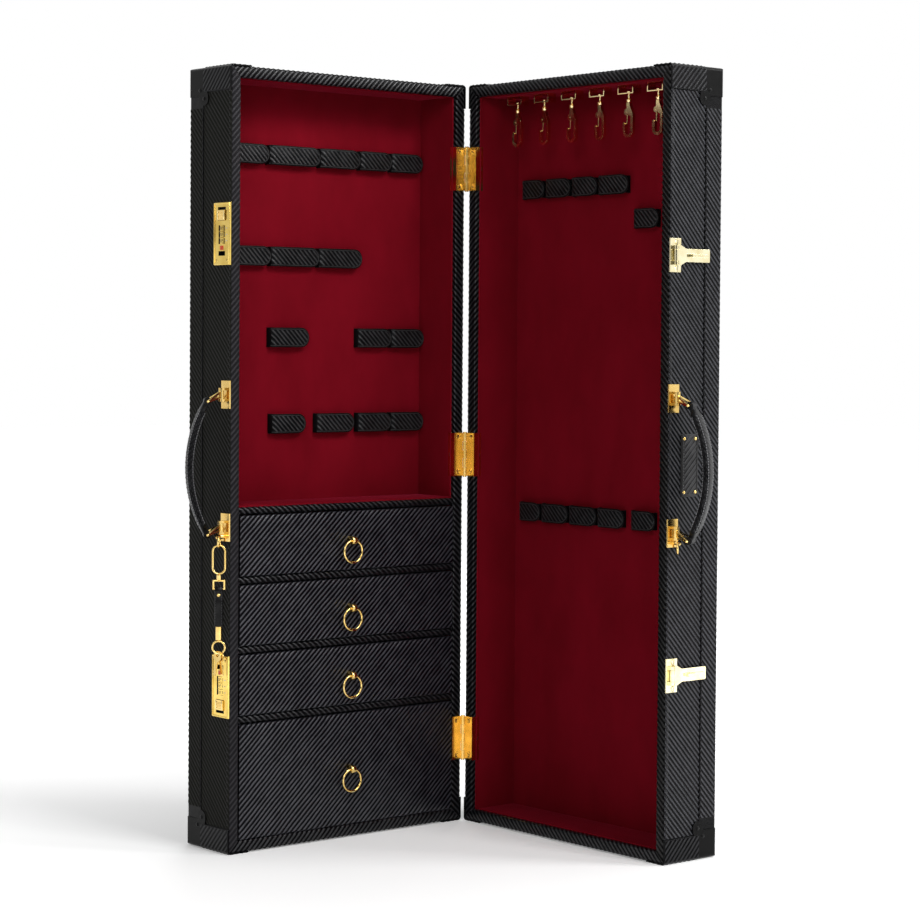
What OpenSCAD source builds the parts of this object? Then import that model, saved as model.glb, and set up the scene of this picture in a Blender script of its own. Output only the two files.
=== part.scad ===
// Upright two-part organiser case: hard suitcase halves that open like a book, lined in velvet,
// with four drawers, leather tool loops, snap hooks, two combination locks and two carrying handles.
// Each half is drawn in its own frame: X is the distance from the hinge axis along the rim,
// Y is the depth behind the plane where the closed halves meet, and Z is up.

/* [Case] */
// Height of the case standing upright on its corners
case_h = 850; // [820:1:900]
// Width of one half, from side wall to side wall
case_w = 326; // [322:1:360]
// Depth of one half, from the meeting plane to the back
case_d = 79; // [76:1:90]
// Thickness of the side, top and bottom walls
wall_t = 9.5; // [9:0.1:11]
// Thickness of the back panel
back_t = 10; // [6:0.5:12]
// Thickness of the velvet lining
lining_t = 2.5; // [1.5:0.1:3]
// Depth of the leather wrapped frame around the mouth
rim_depth = 6; // [5.5:0.1:8]
// Gap from the rim to the plane where the closed halves meet
rim_clear = 1.2; // [1.2:0.05:2]
// Gap between the two halves at the hinge when they are opened flat
hinge_gap = 5.6; // [5.6:0.1:7]
// Rounding of the outer edges of the box
edge_r = 2; // [1:0.25:3]

/* [Leather trim and corners] */
// Thickness of the corner patches and of the corner caps
corner_t = 1.6; // [1.2:0.1:2.2]
// Height of a corner patch on the side wall
patch_h = 25; // [18:1:30]
// Width of a corner patch on the top and bottom
patch_w = 26; // [18:1:30]
// Thickness of the binding on the back edges
binding_t = 0.8; // [0.5:0.1:1]
// Width of the binding on each face
binding_w = 25; // [20:1:27]
// Height of a corner cap at the back edge
cap_h = 31; // [28:1:36]
// Radius of the round lobe at the end of a corner cap
lobe_r = 7.5; // [6:0.5:8.5]
// Radius of the head of a rivet
rivet_r = 2.2; // [1.6:0.1:2.6]
// Height of the head of a rivet
rivet_h = 0.8; // [0.5:0.1:1]

/* [Drawers] */
// Clear height of the bottom drawer's bay
bottom_bay_h = 126.4; // [120:0.2:140]
// Clear height of each of the three upper bays
small_bay_h = 67; // [55:0.5:72]
// Thickness of the boards between the drawers
board_t = 8.5; // [7:0.5:10]
// Gap at each side of a drawer
drawer_side_gap = 1.3; // [1.2:0.1:1.8]
// Gap under a drawer
drawer_under_gap = 0.3; // [0.2:0.05:0.6]
// Gap over a drawer
drawer_over_gap = 0.7; // [0.5:0.1:1]
// Distance of a drawer front behind the face of the rim
drawer_inset = 0.3; // [0:0.1:1]
// Thickness of a drawer front
front_t = 8; // [6:0.5:10]
// Thickness of a drawer's sides and back
tray_t = 5; // [4:0.5:6]
// Thickness of a drawer's bottom
tray_floor_t = 3; // [3:0.5:4]
// Distance of a drawer's sides below the top of its front
tray_drop = 5; // [3:0.5:8]
// Free space behind a closed drawer
drawer_back_gap = 2.5; // [1.5:0.5:5]

/* [Ring pulls] */
// Radius of a ring pull, to the middle of its wire
ring_r = 12.4; // [11:0.2:14]
// Radius of the wire of a ring pull
ring_wire_r = 1.3; // [1:0.1:1.5]
// Width of the post that holds the ring
post_w = 6; // [5:0.5:6]
// Height of the post that holds the ring
post_h = 9; // [8:0.5:10]
// Distance of the ring's pivot in front of the drawer front
post_reach = 6; // [5:0.5:7]

/* [Case hinges] */
// Length of a hinge
hinge_l = 50; // [44:1:60]
// Distance of the outer hinges from the middle of the case
hinge_off = 329; // [300:1:345]
// Thickness of the hinge leaves
leaf_t = 0.8; // [0.6:0.05:0.85]
// Depth of the leaf's flange along the inner wall
flange_d = 11; // [9:0.5:14]
// Radius of the hinge barrel
barrel_r = 2.3; // [2.1:0.05:2.4]
// Radius of the hinge pin
pin_r = 1.2; // [1:0.05:1.3]
// Radial clearance of the pins that turn in bores
turn_gap = 0.06; // [0.03:0.01:0.1]
// Radius of a screw head
screw_r = 2.2; // [1.8:0.1:2.6]
// Height of a screw head
screw_h = 0.25; // [0.15:0.05:0.3]

/* [Locks] */
// Distance of a lock from the middle of the case
lock_off = 244; // [235:1:255]
// Height of a lock plate
lock_h = 67; // [66:1:74]
// Width of a lock plate
lock_w = 29; // [27:0.5:32]
// Distance of a lock plate's middle from the meeting plane
lock_mid_d = 16.2; // [16:0.1:20]
// Thickness of a lock plate
lock_t = 2.2; // [1.8:0.1:2.4]
// Width of a number wheel
dial_w = 6.2; // [5.8:0.1:6.4]
// Spacing of the number wheels
dial_pitch = 6.8; // [6.7:0.1:7]
// Height of a number wheel over its plate
dial_proud = 1.2; // [0.8:0.1:1.3]
// Radius of the wheels' axle
axle_r = 1; // [0.8:0.1:1.3]
// Height of the lock's sliding button
button_h = 11; // [9:0.5:12]
// Width of the lock's sliding button
button_w = 14; // [10:0.5:16]
// Height of the button over its plate
button_proud = 1.5; // [1:0.1:2]
// Travel of the button
button_travel = 3; // [2:0.5:3.5]
// Height of the hasp slot along the plate
slot_h = 5; // [4.8:0.1:6]
// Width of the hasp slot across the plate
slot_w = 12; // [11.5:0.5:14]
// Distance of the hasp slot from the middle of its plate
slot_off = 21; // [20:0.5:23]

/* [Hasps] */
// Length of a hasp from its pivot to its tip
hasp_l = 50; // [46:1:54]
// Width of a hasp's tongue
hasp_w = 14; // [12:0.2:15]
// Thickness of a hasp
hasp_t = 1.8; // [1.4:0.1:2]
// Height of a hasp's base plate
hasp_base_h = 36; // [34:1:40]
// Width of a hasp's base plate
hasp_base_w = 16; // [15:0.5:18]
// Thickness of a hasp's base plate
hasp_base_t = 1.6; // [1.2:0.1:1.8]
// Distance of a hasp's pivot from the meeting plane
hasp_pivot_d = 7.7; // [7.5:0.1:8]
// Height of the catch that enters the lock
catch_h = 4.5; // [3.5:0.1:5]

/* [Handles] */
// Distance of a handle mount from the middle of the case
mount_off = 71.4; // [62:0.2:80]
// Height of a handle mount's plate
mount_h = 30; // [28:1:32]
// Width of a handle mount's plate
mount_w = 15; // [14:0.5:17]
// Thickness of a handle mount's plate
mount_t = 1.8; // [1.4:0.1:2.2]
// Distance of a handle's pivot outside the side wall
pivot_out = 7; // [6.5:0.1:9]
// Distance from the pivot to the ends of the leather grip
link_l = 15; // [13:0.5:18]
// Distance from the pivot to the outer face of the grip at its middle
handle_reach = 41; // [38:1:50]
// Thickness of the leather grip
handle_t = 8; // [6:0.5:9]
// Width of the leather grip
handle_w = 26; // [20:1:28]
// Swing of the handles towards the back in the stored pose
handle_swing = 30; // [20:1:35]
// How far the grip hangs below the middle of its mounts
link_drop = 7; // [0:0.5:7]

/* [Tool loops] */
// Height of a loop strap
loop_h = 22; // [16:1:26]
// Rise of a loop over the lining
loop_rise = 9; // [8:0.5:11]
// Thickness of the loop leather
loop_t = 2; // [1.5:0.1:2.4]
// Length of the stitched foot at each end of a loop
loop_foot = 5; // [4:0.5:6]
// Gap between neighbouring loops in a row
loop_gap = 0.4; // [0.3:0.1:1]

/* [Snap hooks] */
// Distance of the first hook from the lining on the hinge side
hook_from_hinge = 36.2; // [30:0.2:45]
// Distance of the last hook from the lining on the handle side
hook_from_handle = 37.8; // [30:0.2:45]
// Distance of the hooks behind the meeting plane
hook_d = 33; // [30:1:38]
// Width of a hook's bracket
bracket_w = 24; // [20:1:28]
// Depth of a hook's bracket
bracket_d = 12; // [10:1:14]
// Height of a hook's bracket
bracket_h = 10.6; // [9:0.2:12]
// Thickness of a hook's bracket
bracket_t = 1.2; // [1:0.1:1.5]
// Radius of the swivel ball
ball_r = 3.2; // [2.6:0.1:3.5]
// Distance of the swivel ball below its bracket
ball_drop = 6.8; // [6:0.1:8]
// Length of a hook from its ball to its lowest point
hook_l = 40.5; // [38:0.5:46]
// Radius of a hook's bend, to its outer edge
bend_r = 7.5; // [7:0.25:9]
// Radius of a hook's bend, to its inner edge
bend_inner_r = 4.2; // [4:0.1:4.8]
// Thickness of a hook
hook_t = 4; // [3.6:0.1:5]

/* [Name tag and key strap] */
// Height of the name tag
tag_h = 67; // [50:1:75]
// Width of the name tag
tag_w = 25; // [20:1:27]
// Thickness of the name tag
tag_t = 1.8; // [1.2:0.1:2.2]
// Distance of the name tag's front edge from the meeting plane
tag_from = 21; // [20:0.5:25]
// Distance of the hanging ring's pivot outside the side wall
key_out = 9; // [8.5:0.1:11]
// Distance of the hanging ring's pivot below the middle of its mount
key_drop = 9.4; // [9:0.2:11]
// Radius of the hanging ring, to the middle of its wire
drop_r = 6; // [5.5:0.25:7]
// Radius of the wire of the hanging ring and of the snap link
key_wire_r = 1.1; // [1:0.05:1.2]
// Height of the snap link
link_h = 33; // [30:1:36]
// Width of the snap link
link_w = 15.6; // [14:0.2:17]
// Length of the key strap
strap_l = 42; // [35:1:50]
// Width of the key strap
strap_w = 9; // [7:0.5:10]
// Thickness of the key strap
strap_t = 2.4; // [2:0.1:3]

/* [Hidden] */
$fn = 48;

leather = "#1c1c1e";
velvet = "#6b0a18";
gold = "#d9a441";
black_metal = "#151517";

// How far a cut runs past the face that it opens
past = 1;

// Glue line between boards, and between the boards of a lining
glue_t = 0.1;

// Box of one half, in its own frame
side_0 = hinge_gap / 2;
side_1 = side_0 + case_w;
base_z = corner_t;
top_z = case_h - corner_t;
mid_z = case_h / 2;
rim_back = rim_clear + rim_depth;

// Clear space inside one half
rim_w = wall_t + lining_t;
in_0 = side_0 + rim_w;
in_1 = side_1 - rim_w;
in_base = base_z + rim_w;
in_top = top_z - rim_w;
in_back = case_d - back_t - lining_t;

// The row's origin is under the middle of the whole object's box, so that both halves move by this much
swing_out = (handle_reach * cos(handle_swing)) + handle_w / 2 * sin(handle_swing);
reach_out = side_1 + pivot_out + swing_out;
reach_back = case_d + corner_t + rivet_h;
origin_shift = (reach_out - reach_back) / 2;

// Corner caps: front edge, lobe and rivets, as distances in from the back edge and up from the floor
trim_from = case_d - binding_w;
lobe_mid = [binding_w + 2.5, cap_h + 3];
cap_rivets = [[binding_w - 5.2, cap_h - 6.3], lobe_mid];
rivet_shank_r = 1;

// Drawer bays: lowest and highest point of each, from the top drawer down
bay_step = small_bay_h + board_t;
bay_1_base = in_base + bottom_bay_h + board_t;
bays = [
    [bay_1_base + 2 * bay_step, bay_1_base + 2 * bay_step + small_bay_h],
    [bay_1_base + bay_step, bay_1_base + bay_step + small_bay_h],
    [bay_1_base, bay_1_base + small_bay_h],
    [in_base, in_base + bottom_bay_h]
];
drawer_face = rim_clear + drawer_inset;
drawer_mid = (in_0 + in_1) / 2;
ring_bore_r = ring_wire_r + post_w * post_w / 8 / ring_r + 0.25;

// Case hinges
hinge_zs = [mid_z - hinge_off, mid_z, mid_z + hinge_off];
leaf_face = rim_clear - leaf_t;
knuckles = 5;
knuckle_gap = 0.2;
leaf_from = barrel_r + 0.4;
rim_screw_u = side_0 + rim_w * 0.55;
rim_screw_z = hinge_l / 2 - 5;
flange_screw_d = rim_back + 1.8;
shank_r = 1.2;
shank_gap = 0.1;
rim_shank_l = rim_depth - 0.5;
flange_shank_l = rim_w - 4;

// Locks: the housing sits in the wall, and the wheels fill its depth
lock_zs = [mid_z + lock_off, mid_z - lock_off];
housing_w = 2 * (lock_mid_d - rim_back);
housing_h = lock_h - 7;
housing_deep = wall_t - 0.6;
housing_t = 0.5;
housing_face = -0.6;
lock_gap = 0.3;
dial_r = (lock_t + dial_proud + housing_deep - housing_t - lock_gap) / 2;
dial_mid = lock_t + dial_proud - dial_r;
dial_z = -0.8;
notch_r = 0.7;
button_z = 20;
button_deep = 2.7;
groove_pitch = 1.6;
groove_w = 0.6;
groove_deep = 0.4;
dot_z = -15;
dot_r = 2.4;
dot_deep = 0.8;

// Hasps: pivot clear of the base plate, outline as distances from the pivot
hasp_zs = [mid_z + lock_off - slot_off, mid_z - lock_off + slot_off];
hasp_barrel_r = 2.4;
hasp_barrel_l = 12;
hasp_mid = hasp_base_t + hasp_barrel_r + 0.25;
hasp_base_d = rim_clear + 0.3;
hasp_screw = [11.5, 14.2];
hasp_screw_r = 3.4;
hasp_neck = 3;
hasp_wide = 0.75 * hasp_w;
hasp_shoulder = [7, 14];
catch_from = hasp_pivot_d + 19.5;
catch_l = 9;
catch_w = 3.4;
knuckle_l = 4;
knuckle_off = hasp_barrel_l / 2 + knuckle_l / 2 + 0.2;

// Handles
mount_mid_d = rim_clear + 0.3 + mount_w / 2;
mount_zs = [mid_z + mount_off, mid_z - mount_off];
ear_t = 2.6;
link_barrel_l = 9;
link_barrel_r = 3;
handle_pin_r = 1.5;
link_wire_r = 1.3;
link_start = 1.1;
link_arm_rise = [3.4, link_barrel_l / 2 - 0.1];
grip_mid = handle_reach - handle_t / 2;
grip_sag = grip_mid - link_l;
grip_r = (mount_off * mount_off + grip_sag * grip_sag) / 2 / grip_sag;
grip_end_r = handle_t / 2 + 0.5;
bar_half = handle_w / 2 + link_wire_r + 0.6;
arm_slope = (bar_half - link_start) / link_l;
arm_l = norm([link_l, bar_half - link_start]);
arm_t = 2.2;
arm_tip = link_wire_r - 0.2;
arm_band = 1.8;
arm_half_w = link_wire_r * sqrt(1 + arm_slope * arm_slope);
lug_half = link_start + arm_slope * (link_l - grip_end_r) - arm_half_w - 0.3;

// Tool loops: height of the middle, start and end, measured from the lower hinge-side corner of a
// plan of the clear space over the drawers, and of the whole clear space of the right half
plan_w = 302;
left_plan_h = 461.4;
right_plan_h = 822.8;
left_loop_list = [
    [386, 3.2, 49.2], [386, 49.2, 95.2], [386, 95.2, 152.2], [386, 152.2, 223.2], [386, 223.2, 285.2],
    [273.5, 92.2, 153.2], [273.5, 153.2, 220.2], [273.5, 220.2, 285.2],
    [183.5, 0.2, 48.2], [183.5, 48.2, 97.2], [183.5, 167.2, 220.2],
    [87, 0.2, 48.2], [87, 48.2, 96.2], [87, 102.2, 155.2], [87, 171.2, 218.2]
];
right_loop_list = [
    [717.4, 15.2, 55.2], [717.4, 55.2, 99.2], [717.4, 99.2, 143.2], [717.4, 143.2, 193.2],
    [678.4, 200.2, 241.2],
    [345.4, 14.2, 52.2], [345.4, 52.2, 99.2], [345.4, 99.2, 146.2], [345.4, 146.2, 191.2],
    [345.4, 200.2, 240.2]
];

// Snap hooks, with lengths down from the swivel ball
hook_count = 6;
hook_pitch = (in_1 - in_0 - hook_from_hinge - hook_from_handle) / (hook_count - 1);
ball_z = in_top - bracket_h - ball_drop;
swivel_r = 1.4;
swivel_head = [2.6, 1.6];
hook_bend_s = hook_l - bend_r;
gate_boss_r = 3.4;
gate_pivot = [-2.2, 12.5];
gate_end = [-(bend_inner_r - 1.3), 25];
gate_w = 2;
gate_t = 1.8;
gate_pin_r = 0.8;
gate_head_r = 3;

// Key strap, from the hanging ring's pivot down
key_angle = 45;
key_z = mid_z - mount_off - key_drop;
key_d = mount_mid_d;
eye_r = 3.6;
eye_stub_r = 0.8 * eye_r;
eye_bore_r = key_wire_r + eye_r * eye_r / 2 / drop_r + 0.15;
link_top = 2 * drop_r - 2 * key_wire_r - 0.25;
link_half = link_w / 2 - key_wire_r;
link_upper = link_top + link_half;
link_lower = link_top - 2 * key_wire_r + link_h - link_half;
swivel_top = link_lower + link_half + key_wire_r + 0.2;
swivel_l = 5;
collar_r = 2.6;
clip_top = swivel_top + swivel_l;
clip_h = 11;
clip_half = strap_w / 2 + 1.4;
strap_top = clip_top + clip_h - 2 * key_wire_r - 0.3;
strap_end = strap_top + strap_l;
snap_l = 14;
snap_r = 3.4;
end_ring_r = 6.8;
end_ring_z = strap_end + snap_l + 0.6 + end_ring_r + key_wire_r;
key_bow_r = 6;
key_bore_r = key_wire_r + 1.5;
key_blade = [3.2, 15];
key_t = 1.2;
key_turn = -50;
key_lean = 8;

module left_half() {
    translate([origin_shift, origin_shift, 0]) mirror([1, 0, 0]) children();
}

module right_half() {
    translate([origin_shift, origin_shift, 0]) rotate([0, 0, -90]) children();
}

// A rectangle with round corners, built from true arcs
module round_rect(low, high, r) {
    union() {
        translate([low[0] + r, low[1]]) square([high[0] - low[0] - 2 * r, high[1] - low[1]]);
        translate([low[0], low[1] + r]) square([high[0] - low[0], high[1] - low[1] - 2 * r]);
        for (x = [low[0] + r, high[0] - r], y = [low[1] + r, high[1] - r])
            translate([x, y]) circle(r);
    }
}

// The half's outer box, grown by a skin thickness, with its edges rounded
module outer_box(skin) {
    low = [side_0 - skin, base_z - skin];
    high = [side_1 + skin, top_z + skin];
    back = case_d + skin;
    r = edge_r + skin;
    intersection() {
        translate([0, back, 0]) rotate([90, 0, 0]) linear_extrude(back)
            round_rect(low, high, r);
        translate([0, 0, low[1]]) linear_extrude(high[1] - low[1])
            round_rect([low[0], -2 * r], [high[0], back], r);
        translate([low[0], 0, 0]) rotate([90, 0, 90]) linear_extrude(high[0] - low[0])
            round_rect([-2 * r, low[1]], [back, high[1]], r);
    }
}

// A block between two corners
module block(low, high) {
    translate(low) cube(high - low);
}

// Along the outward direction of the side wall at a depth and height
module on_side(d, z, out = 0) {
    translate([side_1 + out, d, z]) rotate([0, 90, 0]) children();
}

// Pilot holes for the hinge screws
module hinge_screw_holes() {
    for (z = hinge_zs) {
        for (s = [-1, 1])
            translate([rim_screw_u, 0, z + s * rim_screw_z]) rotate([-90, 0, 0])
                cylinder(h = rim_clear + rim_shank_l, r = shank_r + shank_gap);
        translate([in_0 - flange_shank_l, flange_screw_d, z]) rotate([0, 90, 0])
            cylinder(h = flange_shank_l + 2, r = shank_r + shank_gap);
    }
}

// Glue lines of a box of boards around a clear space: the side boards run its full height, the top and
// bottom boards lie between them, and all four stand on the back board
module glue_lines(low, high, back, t) {
    block([low[0] - t - past, back - glue_t, low[1] - t - past], [high[0] + t + past, back, high[1] + t + past]);
    for (z = [low[1] - t - past, high[1]], u = [low[0], high[0] - glue_t])
        block([u, -past, z], [u + glue_t, back, z + t + past]);
}

// The four walls and the back panel, with further cuts given as children
module shell() {
    color(leather) difference() {
        outer_box(0);
        block([side_0 - past, -past, base_z - past], [side_1 + past, rim_back, top_z + past]);
        block([side_0 + wall_t, 0, base_z + wall_t], [side_1 - wall_t, case_d - back_t, top_z - wall_t]);
        glue_lines([side_0 + wall_t, base_z + wall_t], [side_1 - wall_t, top_z - wall_t], case_d - back_t, wall_t);
        hinge_screw_holes();
        children();
    }
}

// Places for the lock housings in the side wall, whose front rail is in three lengths between them
module lock_pockets() {
    rail_back = lock_mid_d + housing_w / 2;
    for (n = [0, 1]) at_lock(n)
        block([side_1 - wall_t - past, rim_back - past, -housing_h / 2], [side_1 + past, rail_back, housing_h / 2]);
    block([side_1 - wall_t - past, rail_back, base_z - past], [side_1 + past, rail_back + glue_t, top_z + past]);
}

// The frame around the mouth
module rim() {
    color(leather) difference() {
        translate([0, rim_back, 0]) rotate([90, 0, 0]) linear_extrude(rim_depth) difference() {
            round_rect([side_0, base_z], [side_1, top_z], edge_r);
            translate([in_0, in_base]) square([in_1 - in_0, in_top - in_base]);
        }
        glue_lines([in_0, in_base], [in_1, in_top], rim_back + past + glue_t, rim_w);
        hinge_screw_holes();
    }
}

module lining() {
    color(velvet) difference() {
        block([side_0 + wall_t, rim_back, base_z + wall_t],
            [side_1 - wall_t, case_d - back_t, top_z - wall_t]);
        block([in_0, 0, in_base], [in_1, in_back, in_top]);
        glue_lines([in_0, in_base], [in_1, in_top], in_back, lining_t);
        hinge_screw_holes();
    }
}

// Outline of a corner cap on one wall: X runs in from the corner's edge, Y up from the floor
module cap_outline() {
    union() {
        polygon([
            [-edge_r - 9, -9], [binding_w, -9], [binding_w, 2], [lobe_mid[0] + lobe_r, lobe_mid[1] - 2],
            lobe_mid, [lobe_mid[0] - lobe_r, lobe_mid[1]], [lobe_mid[0] - lobe_r - 1, cap_h],
            [-edge_r - 9, cap_h]
        ]);
        translate(lobe_mid) circle(lobe_r);
    }
}

// The space of the corner cap at the bottom of the back corner away from the hinge
module cap_zone() {
    deep = edge_r + 1;
    thick = deep + corner_t + 1;
    union() {
        translate([side_1 - deep, 0, 0]) rotate([90, 0, 90]) linear_extrude(thick)
            translate([case_d, 0]) mirror([1, 0]) cap_outline();
        translate([0, case_d - deep + thick, 0]) rotate([90, 0, 0]) linear_extrude(thick)
            translate([side_1, 0]) mirror([1, 0]) cap_outline();
        block([side_1 - binding_w, trim_from, -1], [side_1 + thick, case_d + thick, base_z + deep]);
    }
}

// Repeats a corner at the top and bottom and at the hinge and handle sides
module at_corners() {
    for (top = [0, 1], inner = [0, 1])
        translate([inner * (side_0 + side_1), 0, top * case_h]) mirror([inner, 0, 0])
            mirror([0, 0, top]) children();
}

// Places the rivets of the caps, pointing out of the side wall and out of the back
module at_cap_rivets() {
    at_corners() for (p = cap_rivets) {
        translate([side_1, case_d - p[0], p[1]]) rotate([0, 90, 0]) children();
        translate([side_1 - p[0], case_d, p[1]]) rotate([-90, 0, 0]) children();
    }
}

module corner_caps() {
    color(black_metal) difference() {
        intersection() {
            outer_box(corner_t);
            union() at_corners() cap_zone();
        }
        outer_box(0);
        at_cap_rivets() translate([0, 0, -past])
            cylinder(h = corner_t + 2 * past, r = rivet_shank_r + shank_gap);
    }
}

module corner_patch() {
    reach = corner_t + 1;
    block([side_1 - patch_w, rim_clear, -1], [side_1 + reach, trim_from + 1, base_z + edge_r]);
    block([side_1 - edge_r, rim_clear, -1], [side_1 + reach, trim_from + 1, base_z + patch_h]);
}

// The space of the binding along the back edges, out to a skin over the box
module binding_zone(skin) {
    intersection() {
        outer_box(skin);
        block([side_0 - corner_t - past, trim_from, -past],
            [side_1 + corner_t + past, case_d + corner_t + past, case_h + past]);
    }
}

// A seam all round the case, whose front is at a depth
module seam_at(d) {
    block([-past, d, -past], [side_1 + corner_t + past, d + glue_t, case_h + past]);
}

module leather_trim() {
    color(leather) {
        difference() {
            intersection() {
                outer_box(corner_t);
                union() at_corners() corner_patch();
            }
            outer_box(0);
            union() at_corners() cap_zone();
            binding_zone(corner_t + past);
            seam_at(trim_from - glue_t);
        }
        difference() {
            binding_zone(binding_t);
            outer_box(0);
            union() at_corners() cap_zone();
            block([side_0 + binding_w, trim_from - past, base_z + binding_w],
                [side_1 - binding_w, case_d + corner_t + past, top_z - binding_w]);
            seam_at(case_d - edge_r - glue_t);
        }
    }
}

module rivet() {
    cylinder(h = rivet_h, r1 = rivet_r, r2 = rivet_r * 0.65);
}

module cap_rivet() {
    cylinder(h = corner_t + rivet_h / 2, r = rivet_shank_r);
    translate([0, 0, corner_t]) rivet();
}

module hinge_screw(length) {
    translate([0, 0, -length]) cylinder(h = length + screw_h / 2, r = shank_r);
    cylinder(h = screw_h, r1 = screw_r, r2 = screw_r * 0.9);
}

module hinge_screws() {
    for (z = hinge_zs) {
        for (s = [-1, 1])
            translate([rim_screw_u, leaf_face, z + s * rim_screw_z]) rotate([90, 0, 0])
                hinge_screw(leaf_t + rim_shank_l);
        translate([in_0 + leaf_t, flange_screw_d, z]) rotate([0, 90, 0])
            hinge_screw(leaf_t + flange_shank_l);
    }
}

module fasteners() {
    color(black_metal) at_cap_rivets() cap_rivet();
    color(gold) hinge_screws();
}

// One knuckle of the barrel with the strip that joins it to its leaf
module knuckle(low, high) {
    difference() {
        union() {
            translate([0, 0, low]) cylinder(h = high - low, r = barrel_r);
            block([0, leaf_face, low], [leaf_from + 1, rim_clear, high]);
        }
        translate([0, 0, low - 1]) cylinder(h = high - low + 2, r = pin_r + turn_gap);
    }
}

// The leaves of one half, whose first knuckle is the one given
module hinge_leaves(first) {
    step = hinge_l / knuckles;
    color(gold) for (z = hinge_zs) difference() {
        union() {
            block([leaf_from, leaf_face, z - hinge_l / 2], [in_0 + leaf_t, rim_clear, z + hinge_l / 2]);
            block([in_0, leaf_face, z - hinge_l / 2], [in_0 + leaf_t, flange_d, z + hinge_l / 2]);
            for (k = [first : 2 : knuckles - 1])
                knuckle(z - hinge_l / 2 + k * step + (k > 0 ? knuckle_gap / 2 : 0),
                    z - hinge_l / 2 + (k + 1) * step - (k < knuckles - 1 ? knuckle_gap / 2 : 0));
        }
        hinge_screw_holes();
    }
}

module pins() {
    color(gold) for (z = hinge_zs) {
        translate([0, 0, z - hinge_l / 2]) cylinder(h = hinge_l, r = pin_r);
        for (s = [-1, 1])
            translate([0, 0, z + s * (hinge_l / 2 + 0.5)]) cylinder(h = 1, r = barrel_r, center = true);
    }
}

module shelves() {
    color(leather) for (bay = bays)
        block([in_0, rim_clear, bay[1]], [in_1, in_back, bay[1] + board_t]);
}

// The post that holds a ring pull, with its bore
module pull_post(n) {
    translate([drawer_mid, drawer_face - post_reach, ring_pivot_z(n)]) difference() {
        union() {
            translate([-post_w / 2, 0, -post_h / 2]) cube([post_w, post_reach, post_h]);
            rotate([0, 90, 0]) cylinder(h = post_w, r = post_h / 2, center = true);
        }
        rotate([0, 90, 0]) cylinder(h = 2 * post_w, r = ring_bore_r, center = true);
    }
}

// A drawer with its pull post
module drawer(n) {
    low = bays[n][0] + drawer_under_gap;
    high = bays[n][1] - drawer_over_gap;
    u0 = in_0 + drawer_side_gap;
    u1 = in_1 - drawer_side_gap;
    back = in_back - drawer_back_gap;
    color(leather) difference() {
        block([u0, drawer_face, low], [u1, back, high]);
        block([u0 + tray_t, drawer_face + front_t, low + tray_floor_t],
            [u1 - tray_t, back - tray_t, high + past]);
        block([u0 - past, drawer_face + front_t, high - tray_drop], [u1 + past, back + past, high + past]);
    }
    color(gold) pull_post(n);
}

function ring_pivot_z(n) = (bays[n][0] + bays[n][1]) / 2;

module pull_ring(n) {
    color(gold) translate([drawer_mid, drawer_face - post_reach, ring_pivot_z(n) - ring_r]) rotate([90, 0, 0])
        rotate_extrude() translate([ring_r, 0]) circle(ring_wire_r);
}

// Repeats a lock: the lower one is the upper one turned over
module at_lock(n) {
    translate([0, 0, lock_zs[n]]) mirror([0, 0, n]) children();
}

// Space for a lock's wheels: one chamber in the housing, and a window in the plate for each
module lock_wheel_holes() {
    reach = dial_r + lock_gap;
    block([side_1 - housing_deep + housing_t, lock_mid_d - reach, dial_z - 1.5 * dial_pitch - lock_gap],
        [side_1 + housing_face, lock_mid_d + reach, dial_z + 1.5 * dial_pitch + lock_gap]);
    for (k = [-1 : 1]) translate([0, 0, dial_z + k * dial_pitch])
        block([side_1 + housing_face - past, lock_mid_d - reach, -(dial_w + lock_gap) / 2],
            [side_1 + lock_t + past, lock_mid_d + reach, (dial_w + lock_gap) / 2]);
}

// The opening in which a lock's button slides
module lock_button_hole() {
    half_w = button_w / 2 + lock_gap;
    block([side_1 - button_deep - lock_gap, lock_mid_d - half_w, button_z - button_h / 2 - lock_gap],
        [side_1 + lock_t + past, lock_mid_d + half_w, button_z + button_h / 2 + button_travel + lock_gap]);
}

module lock_plate() {
    difference() {
        union() {
            block([side_1, lock_mid_d - lock_w / 2, -lock_h / 2],
                [side_1 + lock_t, lock_mid_d + lock_w / 2, lock_h / 2]);
            block([side_1 - housing_deep, lock_mid_d - housing_w / 2, -housing_h / 2],
                [side_1 + lock_t / 2, lock_mid_d + housing_w / 2, housing_h / 2]);
        }
        lock_wheel_holes();
        lock_button_hole();
        block([side_1 - catch_h - 1.5, lock_mid_d - slot_w / 2, -slot_off - slot_h / 2],
            [side_1 + lock_t + past, lock_mid_d + slot_w / 2, -slot_off + slot_h / 2]);
        on_side(lock_mid_d, dot_z, lock_t - dot_deep) cylinder(h = dot_deep + past, r = dot_r);
    }
    translate([side_1 + dial_mid, lock_mid_d, dial_z])
        cylinder(h = 3 * dial_pitch + 2 * lock_gap + 0.2, r = axle_r, center = true);
}

module lock_plates() {
    color(gold) for (n = [0, 1]) at_lock(n) lock_plate();
}

module dial(n, k) {
    middle = [side_1 + dial_mid, lock_mid_d, dial_z + (1 - k) * dial_pitch];
    color(gold) at_lock(n) translate(middle) difference() {
        cylinder(h = dial_w, r = dial_r, center = true);
        cylinder(h = dial_w + past, r = axle_r + turn_gap, center = true);
        for (digit = [0 : 9])
            rotate([0, 0, digit * 36]) translate([dial_r + notch_r / 2, 0, 0])
                cylinder(h = dial_w + past, r = notch_r, center = true);
    }
}

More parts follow.
